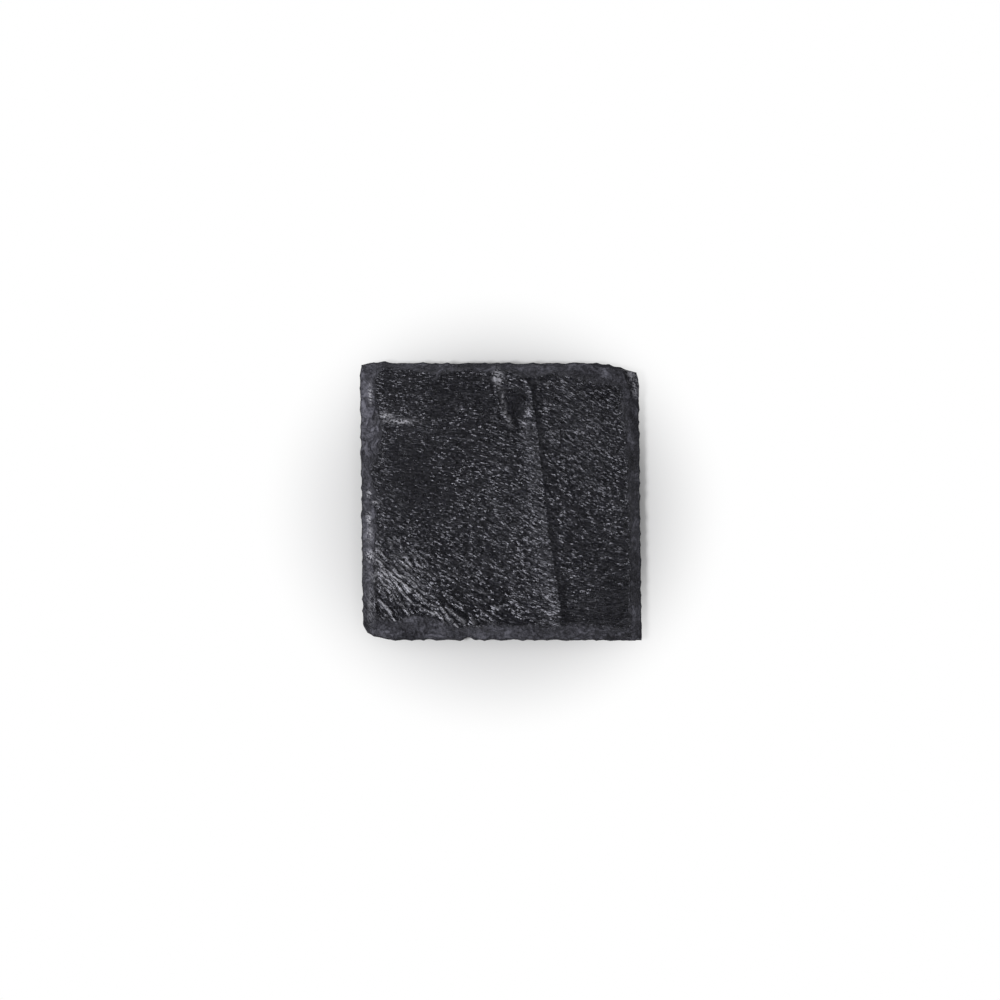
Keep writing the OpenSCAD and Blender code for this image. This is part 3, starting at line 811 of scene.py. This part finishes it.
def slate_face(size, rim):
    """The riven face as an even patch inside the rim's points: its places in plan, the heights of its broad
    form, how far right of the ridge's line each lies, and how far in from the rim."""
    corners = [rim[n] for n in (0, COLUMNS, COLUMNS + ROWS, 2 * COLUMNS + ROWS)]
    q, v = even_shares(COLUMNS, ROWS)
    u = column_share(q, v)
    sides = [ring_plan(size, side, share, RIM) for side, share in enumerate((u, v, 1 - u, 1 - v))]
    plan = even_patch(corners, sides, u, v)
    plan[border(ROWS, COLUMNS)] = rim
    face_w = corners[1][0] - corners[0][0]
    off_ridge = face_w * (u - along_table(RIDGE_SHARES, v))
    height = broad_face(size, plan, off_ridge, face_w * (u - along_table(VALLEY_SHARES, v)))
    to_rim = np.minimum.reduce([u, 1 - u, v, 1 - v]) * size.width
    return plan, height + size.thickness - height.max(), off_ridge, to_rim


def slate_underside(ring, first):
    """The underside as an even patch at half the steps inside the lowest ring: its points, their numbers
    from first on, and the five-sided cells that join it to the ring."""
    columns, rows = COLUMNS // 2, ROWS // 2
    sides = np.split(ring[::2] * (HEM_SHARE, HEM_SHARE, 1), np.cumsum([columns, rows, columns]))
    front, right, back, left = (np.concatenate([sides[n], sides[(n + 1) % 4][:1]]) for n in range(4))
    u, v = even_shares(columns, rows)
    points = even_patch((front[0], right[0], back[0], left[0]),
                        (front[None, :], right[:, None], back[::-1][None, :], left[::-1][:, None]), u, v)
    number = numbered(u.shape, first)
    hem = number[border(rows, columns)]
    start, middle = numbered((len(ring) // 2, 2)).T
    cells = np.column_stack([np.roll(start, -1), middle, start, hem, np.roll(hem, -1)])
    return points.reshape(-1, 3), number, cells


def slate_surface(size, feet):
    """The whole slate as one closed surface, in millimetres: the rings of the edge with straight steps
    between them, the riven face and the underside. Broad form comes first, then every point moves inwards
    along its normal by its relief. Returns the points, two arrays of cells, and the looks of the points."""
    plans, bare = slate_rings(size)
    face, face_z, off_ridge, to_rim = slate_face(size, plans[RIM])
    edge = border(ROWS, COLUMNS)
    outline = np.concatenate(plans)
    middle = (outline.min(0) + outline.max(0)) / 2
    heights = ring_heights(size, face_z[edge], bare)
    corner_rings = [np.column_stack([plan - middle, height]) for plan, height in zip(plans, heights)]
    rings, shares = [corner_rings[0]], [0.0]
    for ring, steps in enumerate(RING_STEPS):
        for step in range(1, steps + 1):
            rings.append(mix(corner_rings[ring], corner_rings[ring + 1], step / steps))
            shares.append(ring + step / steps)

    inner = np.dstack([face - middle, face_z])[1:-1, 1:-1]
    ring_number = numbered((len(rings), len(bare)))
    number = np.zeros(face_z.shape, int)
    number[1:-1, 1:-1] = numbered(inner.shape[:2], ring_number.size)
    number[edge] = ring_number[-1]
    bottom, under, hem_cells = slate_underside(rings[0], number.max() + 1)
    points = np.concatenate([*rings, inner.reshape(-1, 3), bottom])
    quads = np.concatenate([closed_quads(ring_number), grid_quads(number), grid_quads(under.T)])

    # What is known of each point: its ring, whether it is on the face or below, and where it lies there
    count = len(points)
    at = SimpleNamespace(ring=np.full(count, float(RIM)), bare=np.zeros(count), face=np.zeros(count, bool),
                         below=np.zeros(count, bool), off_ridge=np.full(count, size.width),
                         to_rim=np.full(count, size.width))
    at.ring[ring_number], at.ring[under] = np.array(shares)[:, None], 0
    at.bare[ring_number], at.face[number], at.below[under] = bare, True, True
    at.off_ridge[number], at.to_rim[number] = off_ridge, to_rim

    normals = vertex_normals(points, quads)
    normals[at.face], normals[at.below] = (0, 0, 1), (0, 0, -1)
    depth, up, strength = slate_relief(size, points, at, feet)
    points = points - normals * depth[:, None]
    return points, quads, hem_cells, stone_looks(points[:, :2], at, up, strength)


def slate_relief(size, points, at, feet):
    """How far the relief cuts in at each point, how far the point lies up a long torn step, and how strong
    the ripples are there. The face has its ripples and its worn rim, and the ripples settle to one depth
    at the rim. The edge has its chips, and the underside its own relief."""
    p = points[:, :2]
    worn = 1 + WORN_MORE * np.clip(patches(WORN_PATCHES, p), 0, 1)
    worn = size.worn_h * worn * np.exp(-at.to_rim / size.worn_w)
    strength = np.clip(1 + patches(RIPPLE_PATCHES, p), LEAST_RIPPLE, None)
    level = np.clip(patches(LEVEL_PATCHES, p), 0, 1)
    cut, up = ripples(size, p, strength * (1 - level))
    cut = mix(RIM_CUT, cut, smooth(0.25 + at.to_rim / RIM_REACH))
    depth = np.where(at.face, cut + worn, edge_chips(points, at.ring) + EDGE_CUT)
    return np.where(at.below, underside_relief(size, p, feet), depth), up, strength


def stone_looks(p, at, up, strength):
    """The numbers that the finish takes from each point: how far the stone is dressed (0 on the face, 1 on
    the bevel, 2 on the wall), how far it gets the painted shade at the foot of the split corner's torn face,
    how far its facets lean towards the lamp and how strong they are, and how far it is painted pale: partly
    crushed stone, and partly painted highlights on the tops of the torn steps and painted light on the split
    corner's ledge."""
    bevel = RIM - at.ring
    on_wall = (bevel > RIM - WALL_TOP) & (at.bare < BARED)
    dressed = np.where(bevel > 0, 1 - RIM_DRESSED * np.exp(-bevel / DRESSED_RINGS) + on_wall,
                       RIM_DRESSED * np.exp(-at.to_rim / DRESSED_REACH))
    split, above_ledge = at.bare * ~at.face, at.ring - LEDGE_RIM
    # Painted shade in the split corner's crack, and painted light on its bared ledge
    crack_shade, ledge = (split * np.exp(-((above_ledge - middle) / reach) ** 2)
                    for middle, reach in (CRACK_SHADE_RINGS, LIT_LEDGE_RINGS))
    # Pale flecks: painted highlights on the tops of the torn steps, and in the patches partly crushed stone
    # and partly painted highlights
    pale = TOPS_HIGHLIGHT * np.where(at.face, up, 0) ** TOPS_POWER + patches(PALE_AND_HIGHLIGHT_PATCHES, p)
    bruised_and_highlit = pale * ~at.below + LEDGE_LIGHT * ledge
    return {"dressed": np.where(at.below, 0, dressed), "crack_shade": crack_shade, "lean": facet_lean(p, at.off_ridge),
            "fineness": strength * (1 - TEARS_TAKE * torn(p)), "bruised_and_highlit": bruised_and_highlit}


def edge_chips(p, ring_share):
    """How far chips and torn layers cut into the edge, in millimetres: noise in thin flat layers and grit on
    the wall, and on the bevel hollow shells (noise without its sign) as well, deeper next to the rim. It is
    nothing on the underside's own ring."""
    layers, grit, shells = (stone_noise(*(p / (plan, plan, height)).T, seed) for (plan, height), seed in
                            ((EDGE_LAYERS, 31), (EDGE_GRIT, 32), (EDGE_SHELLS, 33)))
    grit = np.clip(0.5 + grit, 0, None)
    wall = WALL_CUTS[0] * np.clip(0.5 + layers, 0, None) + WALL_CUTS[1] * grit
    bevel = BEVEL_CUTS[0] * np.clip(0.4 + layers, 0, None) + BEVEL_CUTS[1] * grit
    bevel = bevel + BEVEL_CUTS[2] * np.abs(shells) + RIM_MORE * smooth(ring_share - RIM + 1)
    return mix(wall, bevel, smooth(ring_share - WALL_TOP + 0.5)) * smooth(ring_share)


def underside_relief(size, p, feet):
    """How far the riven underside lies above its highest contact: broad noise and ripples along the grain,
    fading to nothing at the border and over the flats that the feet are stuck to."""
    x, y = p.T
    across, along = grain_field(p)
    span, height = UNDER_BROAD
    relief = height * (1 + stone_noise(x / span, y / span, 5.5, 41))
    for wide, long, height, level, seed in UNDER_RIPPLES:
        relief = relief + height * (1 + stone_noise(across / wide, -along / long, level, seed))
    near = np.minimum.reduce([np.hypot(x - foot_x, y - foot_y) - radius for foot_x, foot_y, radius in feet])
    inside = np.minimum(size.width / 2 - np.abs(x), size.depth / 2 - np.abs(y))
    for distance, (start, reach) in ((near, FOOT_FADE), (inside, BORDER_FADE)):
        relief = relief * smooth((distance - start) / reach)
    return relief


def foot_surface(radius, height, rim_round, waist, turns=120):
    """A foam disc as a profile carried round the axis: flat below, a quarter round of width rim_round, a
    side that draws in by a sine to waist half way up and wavers slightly as cut foam does, and flat on
    top. Both poles are closed by one point."""
    a = np.linspace(0, 2 * np.pi, turns, endpoint=False)
    quarter = np.linspace(0, np.pi / 2, FOOT_ROUND_STEPS + 1)
    side = np.linspace(0, 1, FOOT_SIDE_STEPS + 1)[1:]
    below, top = radius * np.array(FOOT_BELOW_SHARES), radius * np.array(FOOT_TOP_SHARES)
    r = np.concatenate([below, radius - rim_round + rim_round * np.sin(quarter), 0 * side + radius, top])
    z = np.concatenate([0 * below, rim_round * (1 - np.cos(quarter)),
                        rim_round + (height - rim_round) * side, 0 * top + height])
    on_side = np.concatenate([0 * below, WAVER_SHARE * np.sin(quarter), 0 * side + 1, 0 * top])
    inward = on_side * waist * np.sin(np.pi * np.clip(z / height, 0, 1))
    waver = stone_noise(WAVER_ROUND * np.cos(a), WAVER_ROUND * np.sin(a), z[:, None] / WAVER_HEIGHT, 51)
    rr = (r - inward)[:, None] - WAVER * on_side[:, None] * (1 + waver)
    x, y = rr * np.cos(a), rr * np.sin(a)
    points = np.dstack([x, y, z[:, None] + 0 * x]).reshape(-1, 3)
    number = numbered(x.shape)
    foot_pole, top_pole = np.full(turns, number.size), np.full(turns, number.size + 1)
    lower = np.column_stack([foot_pole, np.roll(number[0], -1), number[0]])
    upper = np.column_stack([top_pole, number[-1], np.roll(number[-1], -1)])
    points = np.concatenate([points, [[0, 0, 0], [0, 0, height]]])
    return points, closed_quads(number), np.concatenate([lower, upper])


def mesh_piece(name, points, *cells):
    """A mesh object at the origin from points in millimetres and arrays of cells, shaded smooth."""
    mesh = bpy.data.meshes.new(name)
    mesh.from_pydata((points * MM).tolist(), [], [cell for group in cells for cell in group.tolist()])
    mesh.validate()
    mesh.shade_smooth()
    piece = bpy.data.objects.new(name, mesh)
    bpy.context.scene.collection.objects.link(piece)
    return piece


# Finishes

# Patterns of the slate: cells to the metre, layers of detail, how rough each is and how far it winds. The
# veins are flattened like the bedding.
CLOUDS = (90.0, 3.0, 0.55)
BLOTCHES = (700.0, 1.5, 0.5)
GRIT = (1800.0, 0.5, 0.4)
VEINS = (200.0, 3.0, 0.6, 0.7)
BEDDING = (1, 1, 3.2)
# Threads of the grain: size across and along it in millimetres, and their noise as above
THREADS = (0.54, 2.8)
THREAD_NOISE = (1.0, 0.0, 0.4, 0.3)
# Small flat facets of the split face, and finer ones on them: size across and along the grain in
# millimetres, and how steeply chance tilts them each way. A lean tips all of them towards the lamp.
FACETS = (0.2, 0.85, 0.86, 0.68)
FINE_FACETS = (0.2, 0.36, 0.9, 0.8)
LEAN_WAY = (0.5, 1, 0)
# How much of the finer facets shows, and heights in millimetres of the threads, of the veins and blotches
# of dressed stone, of the face's blotches, and of the grit
FINE_FACETS_SHARE = 0.08
THREADS_H = 0.12
VEINS_H = 1.5
EDGE_BLOTCHES_H = 0.20
FACE_BLOTCHES_H = 0.05
GRIT_H = 0.07
# How far a point is dressed where the dressed look begins and is whole, and the same for the wall's look, and
# how far the patterns break those borders up
RIM_RAMP = (0.42, 1.0)
WALL_RAMP = (1.5, 1.75)
BREAK_UP = 0.9
# Shares of the face's colour in its grains, and of the edge's colour in dressed stone at its darkest and
# palest, in the wall and in the painted shade of the crack
GRAINS_SHARE = 2.3
DRESSED_SHARES = (0.08, 2.7)
WALL_SHARE = 0.35
CRACK_SHADE_SHARE = 0.05
# Tint of the reflections on the face and on dressed stone
FACE_GLEAM = (0.88, 0.88, 1.0)
EDGE_GLEAM = (0.3, 0.3, 0.36)
# Patterns of the foam and the film, as above, how the film's streaks are stretched, and the heights of the
# foam's cells and of the film's marks in millimetres
FOAM_CELLS = 4200.0
FOAM_DUST = (900.0, 3.0, 0.6)
FILM_STREAKS = 2500.0
FILM_BUBBLES = 1200.0
STREAKS_STRETCH = (1, 0.12, 1)
FOAM_CELLS_H = -0.06
FILM_MARKS_H = 0.02
# The shadow on the floor: its middle and its stretch, and where it begins and ends to fade, in metres
SHADOW_AT = (0.0025, 0.005, 0)
SHADOW_STRETCH = (1, 1.05, 1)
SHADOW_FADE = (0.0455, 0.085)
# Heights of a direction in the room at which the white walls end and the ceiling begins
CEILING_FADE = (0.5, 0.88)


def times(colour, factor):
    """A colour with each of its parts times a factor, and at most 1."""
    return [min(1, part * factor) for part in colour]


class Finish:
    """A material being built from nodes."""

    def __init__(self, name, **shader):
        self.material = bpy.data.materials.new(name)
        self.material.use_nodes = True
        self.tree = self.material.node_tree
        self.tree.nodes.clear()
        self.shader = self.add("ShaderNodeBsdfPrincipled", **shader)
        self.out = self.add("ShaderNodeOutputMaterial", Surface=self.shader.outputs["BSDF"])
        self.place = self.add("ShaderNodeTexCoord").outputs["Object"]

    def plug(self, socket, value):
        """Links a socket to another one, or sets its value."""
        if isinstance(value, bpy.types.NodeSocket):
            self.tree.links.new(value, socket)
        else:
            socket.default_value = value

    def add(self, kind, settings=None, **inputs):
        """A node with its settings and its inputs. An input goes by its name, with underscores for spaces,
        or by n and its number."""
        node = self.tree.nodes.new(kind)
        for key, value in (settings or {}).items():
            setattr(node, key, value)
        for key, value in inputs.items():
            by_number = key[0] == "n" and key[1:].isdigit()
            self.plug(node.inputs[int(key[1:]) if by_number else key.replace("_", " ")], value)
        return node

    def feed(self, name, value):
        """Links a value to the shader's socket of that name."""
        self.plug(self.shader.inputs[name], value)

    def attribute(self, name):
        """One of the numbers that the mesh carries at its points."""
        return self.add("ShaderNodeAttribute", {"attribute_name": name}).outputs["Fac"]

    def math(self, operation, a, b=0.0, c=0.0):
        """One sum of numbers."""
        return self.add("ShaderNodeMath", {"operation": operation}, n0=a, n1=b, n2=c).outputs[0]

    def vector(self, operation, a, b=(0, 0, 0), c=(0, 0, 0)):
        """One sum of vectors, which is a number for a dot product or a length."""
        node = self.add("ShaderNodeVectorMath", {"operation": operation}, n0=a, n1=b, n2=c)
        return node.outputs["Value" if operation in ("DOT_PRODUCT", "LENGTH") else "Vector"]

    def total(self, first, *more):
        """The sum of pairs of a value and its weight."""
        whole = self.math("MULTIPLY", *first)
        for value, weight in more:
            whole = self.math("MULTIPLY_ADD", value, weight, whole)
        return whole

    def stretched(self, vector, scale, middle=(0, 0, 0)):
        """A place times a scale along each axis, with the middle added."""
        return self.add("ShaderNodeMapping", Vector=vector, Location=middle, Scale=scale).outputs[0]

    def noise(self, vector, scale, detail=2.0, roughness=0.5, distortion=0.0):
        """Noise from 0 to 1, of so many cells to a unit of the vector."""
        return self.add("ShaderNodeTexNoise", Vector=vector, Scale=scale, Detail=detail, Roughness=roughness,
                        Distortion=distortion).outputs[0]

    def colour(self, share, a, b):
        """The colour a at share 0 and b at share 1."""
        node = self.add("ShaderNodeMix", {"data_type": "RGBA", "clamp_factor": True}, n0=share)
        for socket, value in ((node.inputs[6], a), (node.inputs[7], b)):
            self.plug(socket, value if isinstance(value, bpy.types.NodeSocket) else (*value[:3], 1))
        return node.outputs[2]

    def ramp(self, value, low, high, start=0.0, end=1.0):
        """start below low and end above high, on a straight line between."""
        node = self.add("ShaderNodeMapRange", {"clamp": True}, n0=value, n1=low, n2=high, n3=start, n4=end)
        return node.outputs[0]

    def relief(self, height):
        """Gives the shader the slopes of a height in millimetres."""
        self.feed("Normal", self.add("ShaderNodeBump", Strength=1.0, Distance=MM, Height=height).outputs[0])


def slate_finish(colours):
    """Riven slate: dark split stone with a few paler mineral grains, and small flat facets, threads and grit
    along its grain. Where the edge was dressed it is lighter, rougher and veined. Pale flecks are painted
    in, partly crushed stone and partly painted highlights where lit facets catch the lamp; painted light
    lies on the split corner's ledge, and painted shade makes the foot of its torn face nearly black."""
    f = Finish("slate_stone", Specular_IOR_Level=0.65)
    grain = f.add("ShaderNodeUVMap", {"uv_map": "grain"}).outputs["UV"]
    lean = f.attribute("lean")

    def facets(across, along, across_tilt, along_tilt):
        """Height in millimetres of flat facets, one to a cell of that size: the dot product of a point's
        offset from the cell's middle and the cell's tilt, which is chance plus the lean."""
        cells = f.stretched(grain, (1 / across, 1 / along, 1))
        nearest = f.add("ShaderNodeTexVoronoi", {"voronoi_dimensions": "2D"}, Vector=cells, Scale=1.0).outputs
        tilt = f.vector("SUBTRACT", nearest["Color"], (0.5, 0.5, 0.5))
        tilt = f.vector("MULTIPLY_ADD", lean, LEAN_WAY, tilt)
        tilt = f.vector("MULTIPLY", tilt, (across_tilt * across, along_tilt * along, 0))
        return f.vector("DOT_PRODUCT", f.vector("SUBTRACT", cells, nearest["Position"]), tilt)

    threads = f.noise(f.stretched(grain, (1 / THREADS[0], 1 / THREADS[1], 1)), *THREAD_NOISE)
    clouds, blotches, grit = (f.noise(f.place, *pattern) for pattern in (CLOUDS, BLOTCHES, GRIT))
    veins = f.noise(f.stretched(f.place, BEDDING), *VEINS)

    # Where dressed stone and its wall begin, with a border broken up by the patterns
    broken = f.attribute("dressed")
    for pattern in (blotches, veins):
        broken = f.math("MULTIPLY_ADD", f.math("SUBTRACT", pattern, 0.5), BREAK_UP, broken)
    rim, wall = f.ramp(broken, *RIM_RAMP), f.ramp(broken, *WALL_RAMP)

    # Colours
    light = f.total((grit, 0.5), (blotches, 0.7), (clouds, 0.9))
    grains = f.math("MULTIPLY_ADD", f.ramp(light, 0.75, 1.35), 0.1, f.ramp(grit, 0.52, 0.7))
    face = f.colour(grains, (0, 0, 0), times(colours.face_colour, GRAINS_SHARE))
    shade = f.total((grit, 0.4), (blotches, 0.4), (clouds, 1.2))
    vein = f.ramp(f.math("ABSOLUTE", f.math("SUBTRACT", veins, 0.5)), 0.0, 0.13)
    mottle = f.math("MULTIPLY", f.ramp(shade, 0.75, 1.25), f.math("MULTIPLY_ADD", vein, 0.75, 0.25))
    edge = f.colour(mottle, *(times(colours.bevel_colour, share) for share in DRESSED_SHARES))
    edge = f.colour(wall, edge, times(colours.bevel_colour, WALL_SHARE))
    stone = f.colour(rim, face, edge)
    # Painted shade: the split corner's crack is darkened nearly to black
    stone = f.colour(f.attribute("crack_shade"), stone, times(colours.bevel_colour, CRACK_SHADE_SHARE))
    # Pale flecks, partly crushed stone and partly painted highlights, with the ledge's painted light, broken
    # up by threads and grit
    crushed = f.total((threads, 0.5), (grit, 0.5))
    flecks = f.math("MULTIPLY", f.attribute("bruised_and_highlit"), f.ramp(crushed, 0.44, 0.58))
    f.feed("Base Color", f.colour(flecks, stone, colours.bruise_and_highlight_colour))
    f.feed("Specular Tint", f.colour(rim, FACE_GLEAM, EDGE_GLEAM))
    f.feed("Roughness", f.ramp(f.math("MULTIPLY_ADD", blotches, 0.3, rim), 0.0, 1.2, 0.23, 0.68))

    # Relief
    split = f.math("MULTIPLY_ADD", facets(*FINE_FACETS), FINE_FACETS_SHARE, facets(*FACETS))
    split = f.math("MULTIPLY_ADD", threads, THREADS_H, split)
    split_share = f.math("MULTIPLY", f.math("SUBTRACT", 1.0, rim), f.attribute("fineness"))
    veins_h = f.math("MULTIPLY", rim, VEINS_H)
    blotches_h = f.math("MULTIPLY_ADD", rim, EDGE_BLOTCHES_H, FACE_BLOTCHES_H)
    f.relief(f.total((split, split_share), (veins, veins_h), (blotches, blotches_h), (grit, GRIT_H)))
    return f.material


def foam_finish(colours):
    """Black closed-cell foam: fine cells in the surface and a dusty, matt look."""
    f = Finish("foot_foam", Specular_IOR_Level=0.3)
    cells = f.add("ShaderNodeTexVoronoi", Vector=f.place, Scale=FOAM_CELLS).outputs["Distance"]
    dust = f.noise(f.place, *FOAM_DUST)
    share = f.ramp(f.total((cells, 0.6), (dust, 0.7)), 0.3, 1.0)
    f.feed("Base Color", f.colour(share, times(colours.foam_colour, 0.75), times(colours.foam_colour, 1.9)))
    f.feed("Roughness", f.ramp(dust, 0.2, 0.8, 0.78, 0.95))
    f.relief(f.math("MULTIPLY", cells, FOAM_CELLS_H))
    return f.material


def film_finish(colours):
    """Off-white adhesive film: a satin face with faint streaks from the roller, and small bubbles."""
    f = Finish("adhesive_film")
    streaks = f.noise(f.stretched(f.place, STREAKS_STRETCH), FILM_STREAKS)
    bubbles = f.noise(f.place, FILM_BUBBLES)
    share = f.total((bubbles, 0.4), (streaks, 0.6))
    dark, pale = (times(colours.film_colour, factor) for factor in (0.88, 1.06))
    f.feed("Base Color", f.colour(f.ramp(share, 0.3, 0.7), dark, pale))
    f.feed("Roughness", f.ramp(bubbles, 0.3, 0.7, 0.32, 0.5))
    f.relief(f.math("MULTIPLY", share, FILM_MARKS_H))
    return f.material


def floor_finish(stage):
    """A pale matt floor. Away from the coaster it turns to plain white for camera and reflection rays, by
    the distance from the middle, and near it keeps the shadow."""
    f = Finish("floor_paint", Roughness=0.9, Specular_IOR_Level=0.0)
    worn_paint = times(stage.floor_colour, 0.985)
    f.feed("Base Color", f.colour(f.noise(f.place, 30.0), stage.floor_colour, worn_paint))
    away = f.vector("LENGTH", f.stretched(f.place, SHADOW_STRETCH, SHADOW_AT))
    share = f.add("ShaderNodeMapRange", {"interpolation_type": "SMOOTHSTEP"}, n0=away, n1=SHADOW_FADE[0],
                  n2=SHADOW_FADE[1]).outputs[0]
    rays = f.add("ShaderNodeLightPath").outputs
    seen = f.math("ADD", rays["Is Camera Ray"],
                  f.math("ADD", rays["Is Glossy Ray"], rays["Is Transmission Ray"]))
    white = f.add("ShaderNodeEmission", Color=(1, 1, 1, 1), Strength=1.0).outputs[0]
    share = f.math("MULTIPLY", share, f.math("MINIMUM", seen, 1.0))
    both = f.add("ShaderNodeMixShader", n0=share, n1=f.shader.outputs["BSDF"], n2=white).outputs[0]
    f.plug(f.out.inputs["Surface"], both)
    return f.material


def studio_world(stage):
    """A pale room: white at the sides and dim overhead, on a smooth step of the direction's height."""
    world = bpy.data.worlds.new("studio_room")
    bpy.context.scene.world = world
    world.use_nodes = True
    tree = world.node_tree
    tree.nodes.clear()
    out, light = tree.nodes.new("ShaderNodeOutputWorld"), tree.nodes.new("ShaderNodeBackground")
    place, split = tree.nodes.new("ShaderNodeTexCoord"), tree.nodes.new("ShaderNodeSeparateXYZ")
    level = tree.nodes.new("ShaderNodeMapRange")
    level.interpolation_type = "SMOOTHSTEP"
    for socket, value in zip(level.inputs[1:5], (*CEILING_FADE, stage.sky, stage.ceiling)):
        socket.default_value = value
    tree.links.new(place.outputs["Generated"], split.inputs[0])
    tree.links.new(split.outputs["Z"], level.inputs[0])
    tree.links.new(level.outputs[0], light.inputs["Strength"])
    tree.links.new(light.outputs[0], out.inputs["Surface"])


# Operators


def foot_places():
    """Middle and radius of each foam foot in millimetres, from the frame."""
    places = []
    for name in FEET:
        low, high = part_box(f"foot_{name}")
        places.append(((low.x + high.x) / 2 / MM, (low.y + high.y) / 2 / MM, (high.x - low.x) / 2 / MM))
    return places


class COASTER_OT_slate(Operator):
    """Build the riven slate with its dressed edge"""

    bl_idname = "coaster.slate"
    bl_label = "Slate"

    def execute(self, context):
        size = millimetres(context.scene.coaster_slate)
        points, quads, hem_cells, looks = slate_surface(size, foot_places())
        points = points + (0, 0, SLATE_BOX[0].z / MM)
        piece = mesh_piece("riven_slate", points, quads, hem_cells)
        mesh = piece.data
        for name, values in looks.items():
            mesh.attributes.new(name, "FLOAT", "POINT").data.foreach_set("value", values)
        corners = np.zeros(len(mesh.loops), int)
        mesh.loops.foreach_get("vertex_index", corners)
        grain = np.stack(grain_field(points[:, :2]), -1)[corners]
        mesh.uv_layers.new(name="grain").data.foreach_set("uv", grain.ravel())
        mesh.materials.append(slate_finish(context.scene.coaster_slate))
        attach(piece, "root")
        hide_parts("slate")
        return {"FINISHED"}


class COASTER_OT_feet(Operator):
    """Build the four foam feet"""

    bl_idname = "coaster.feet"
    bl_label = "Foam feet"

    def execute(self, context):
        sizes = context.scene.coaster_feet
        finish = foam_finish(sizes)
        size = millimetres(sizes)
        for name, (x, y, radius) in zip(FEET, foot_places()):
            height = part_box(f"foot_{name}")[1].z / MM
            points, *cells = foot_surface(radius, height, size.rim_round, size.waist)
            piece = mesh_piece(f"foam_foot_{name}", points + (x, y, 0), *cells)
            piece.data.materials.append(finish)
            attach(piece, "root")
            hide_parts(f"foot_{name}")
        return {"FINISHED"}


class COASTER_OT_film(Operator):
    """Give the four discs of adhesive film their finish"""

    bl_idname = "coaster.film"
    bl_label = "Adhesive film"

    def execute(self, context):
        finish = film_finish(context.scene.coaster_feet)
        for name in FEET:
            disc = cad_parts[f"adhesive_{name}"]
            disc.data.materials.clear()
            disc.data.materials.append(finish)
        return {"FINISHED"}


class COASTER_OT_stage(Operator):
    """Set the floor, the lamp, the sky and the camera"""

    bl_idname = "coaster.stage"
    bl_label = "Stage"

    def execute(self, context):
        stage = context.scene.coaster_stage
        x, y = (mix(-FLOOR_HALF, FLOOR_HALF, share) for share in even_shares(FLOOR_STEPS, FLOOR_STEPS))
        floor = mesh_piece("floor", np.dstack([x, y, 0 * x]).reshape(-1, 3), grid_quads(numbered(x.shape)))
        floor.data.materials.append(floor_finish(stage))
        studio_world(stage)

        lamp = bpy.data.lights.new("left_softbox", "AREA")
        lamp.shape, lamp.size, lamp.energy = "DISK", stage.lamp_size, stage.lamp_power
        lamp_object = bpy.data.objects.new("left_softbox", lamp)
        bpy.context.scene.collection.objects.link(lamp_object)
        level = stage.lamp_away * math.cos(stage.lamp_height)
        lamp_object.location = (-level * math.cos(stage.lamp_turn), -level * math.sin(stage.lamp_turn),
                                stage.lamp_away * math.sin(stage.lamp_height))
        lamp_object.rotation_euler = (-lamp_object.location).to_track_quat("-Z", "Y").to_euler()

        camera = bpy.data.cameras.new("camera")
        camera.lens = stage.lens
        camera.clip_start, camera.clip_end = 0.01, 20
        camera_object = bpy.data.objects.new("camera", camera)
        bpy.context.scene.collection.objects.link(camera_object)
        x, y = CAMERA_AT
        camera_object.location = (x * MM, y * MM, SLATE_BOX[1].z + stage.camera_height)
        context.scene.camera = camera_object
        context.scene.view_settings.view_transform = "Standard"
        return {"FINISHED"}


class COASTER_PT_panel(Panel):
    """The coaster's sizes, colours and steps."""

    bl_idname = "COASTER_PT_panel"
    bl_label = "Riven slate coaster"
    bl_space_type = "VIEW_3D"
    bl_region_type = "UI"
    bl_category = "Coaster"

    def draw(self, context):
        for operator in OPERATORS:
            self.layout.operator(operator.bl_idname)
        for group in ("coaster_slate", "coaster_feet", "coaster_stage"):
            box = self.layout.box()
            sizes = getattr(context.scene, group)
            for name in sizes.__annotations__:
                box.prop(sizes, name)


GROUPS = {"coaster_slate": CoasterSlate, "coaster_feet": CoasterFeet, "coaster_stage": CoasterStage}
OPERATORS = (COASTER_OT_slate, COASTER_OT_feet, COASTER_OT_film, COASTER_OT_stage)
CLASSES = (*GROUPS.values(), *OPERATORS, COASTER_PT_panel)


def register():
    """Adds the classes, and their sizes to every scene."""
    for cls in CLASSES:
        bpy.utils.register_class(cls)
    for name, group in GROUPS.items():
        setattr(bpy.types.Scene, name, PointerProperty(type=group))


def unregister():
    """Takes the sizes and the classes away again."""
    for name in GROUPS:
        delattr(bpy.types.Scene, name)
    for cls in reversed(CLASSES):
        bpy.utils.unregister_class(cls)


def main():
    """Builds everything in order."""
    register()
    bpy.ops.coaster.slate()
    bpy.ops.coaster.feet()
    bpy.ops.coaster.film()
    bpy.ops.coaster.stage()


if __name__ == "__main__":
    main()
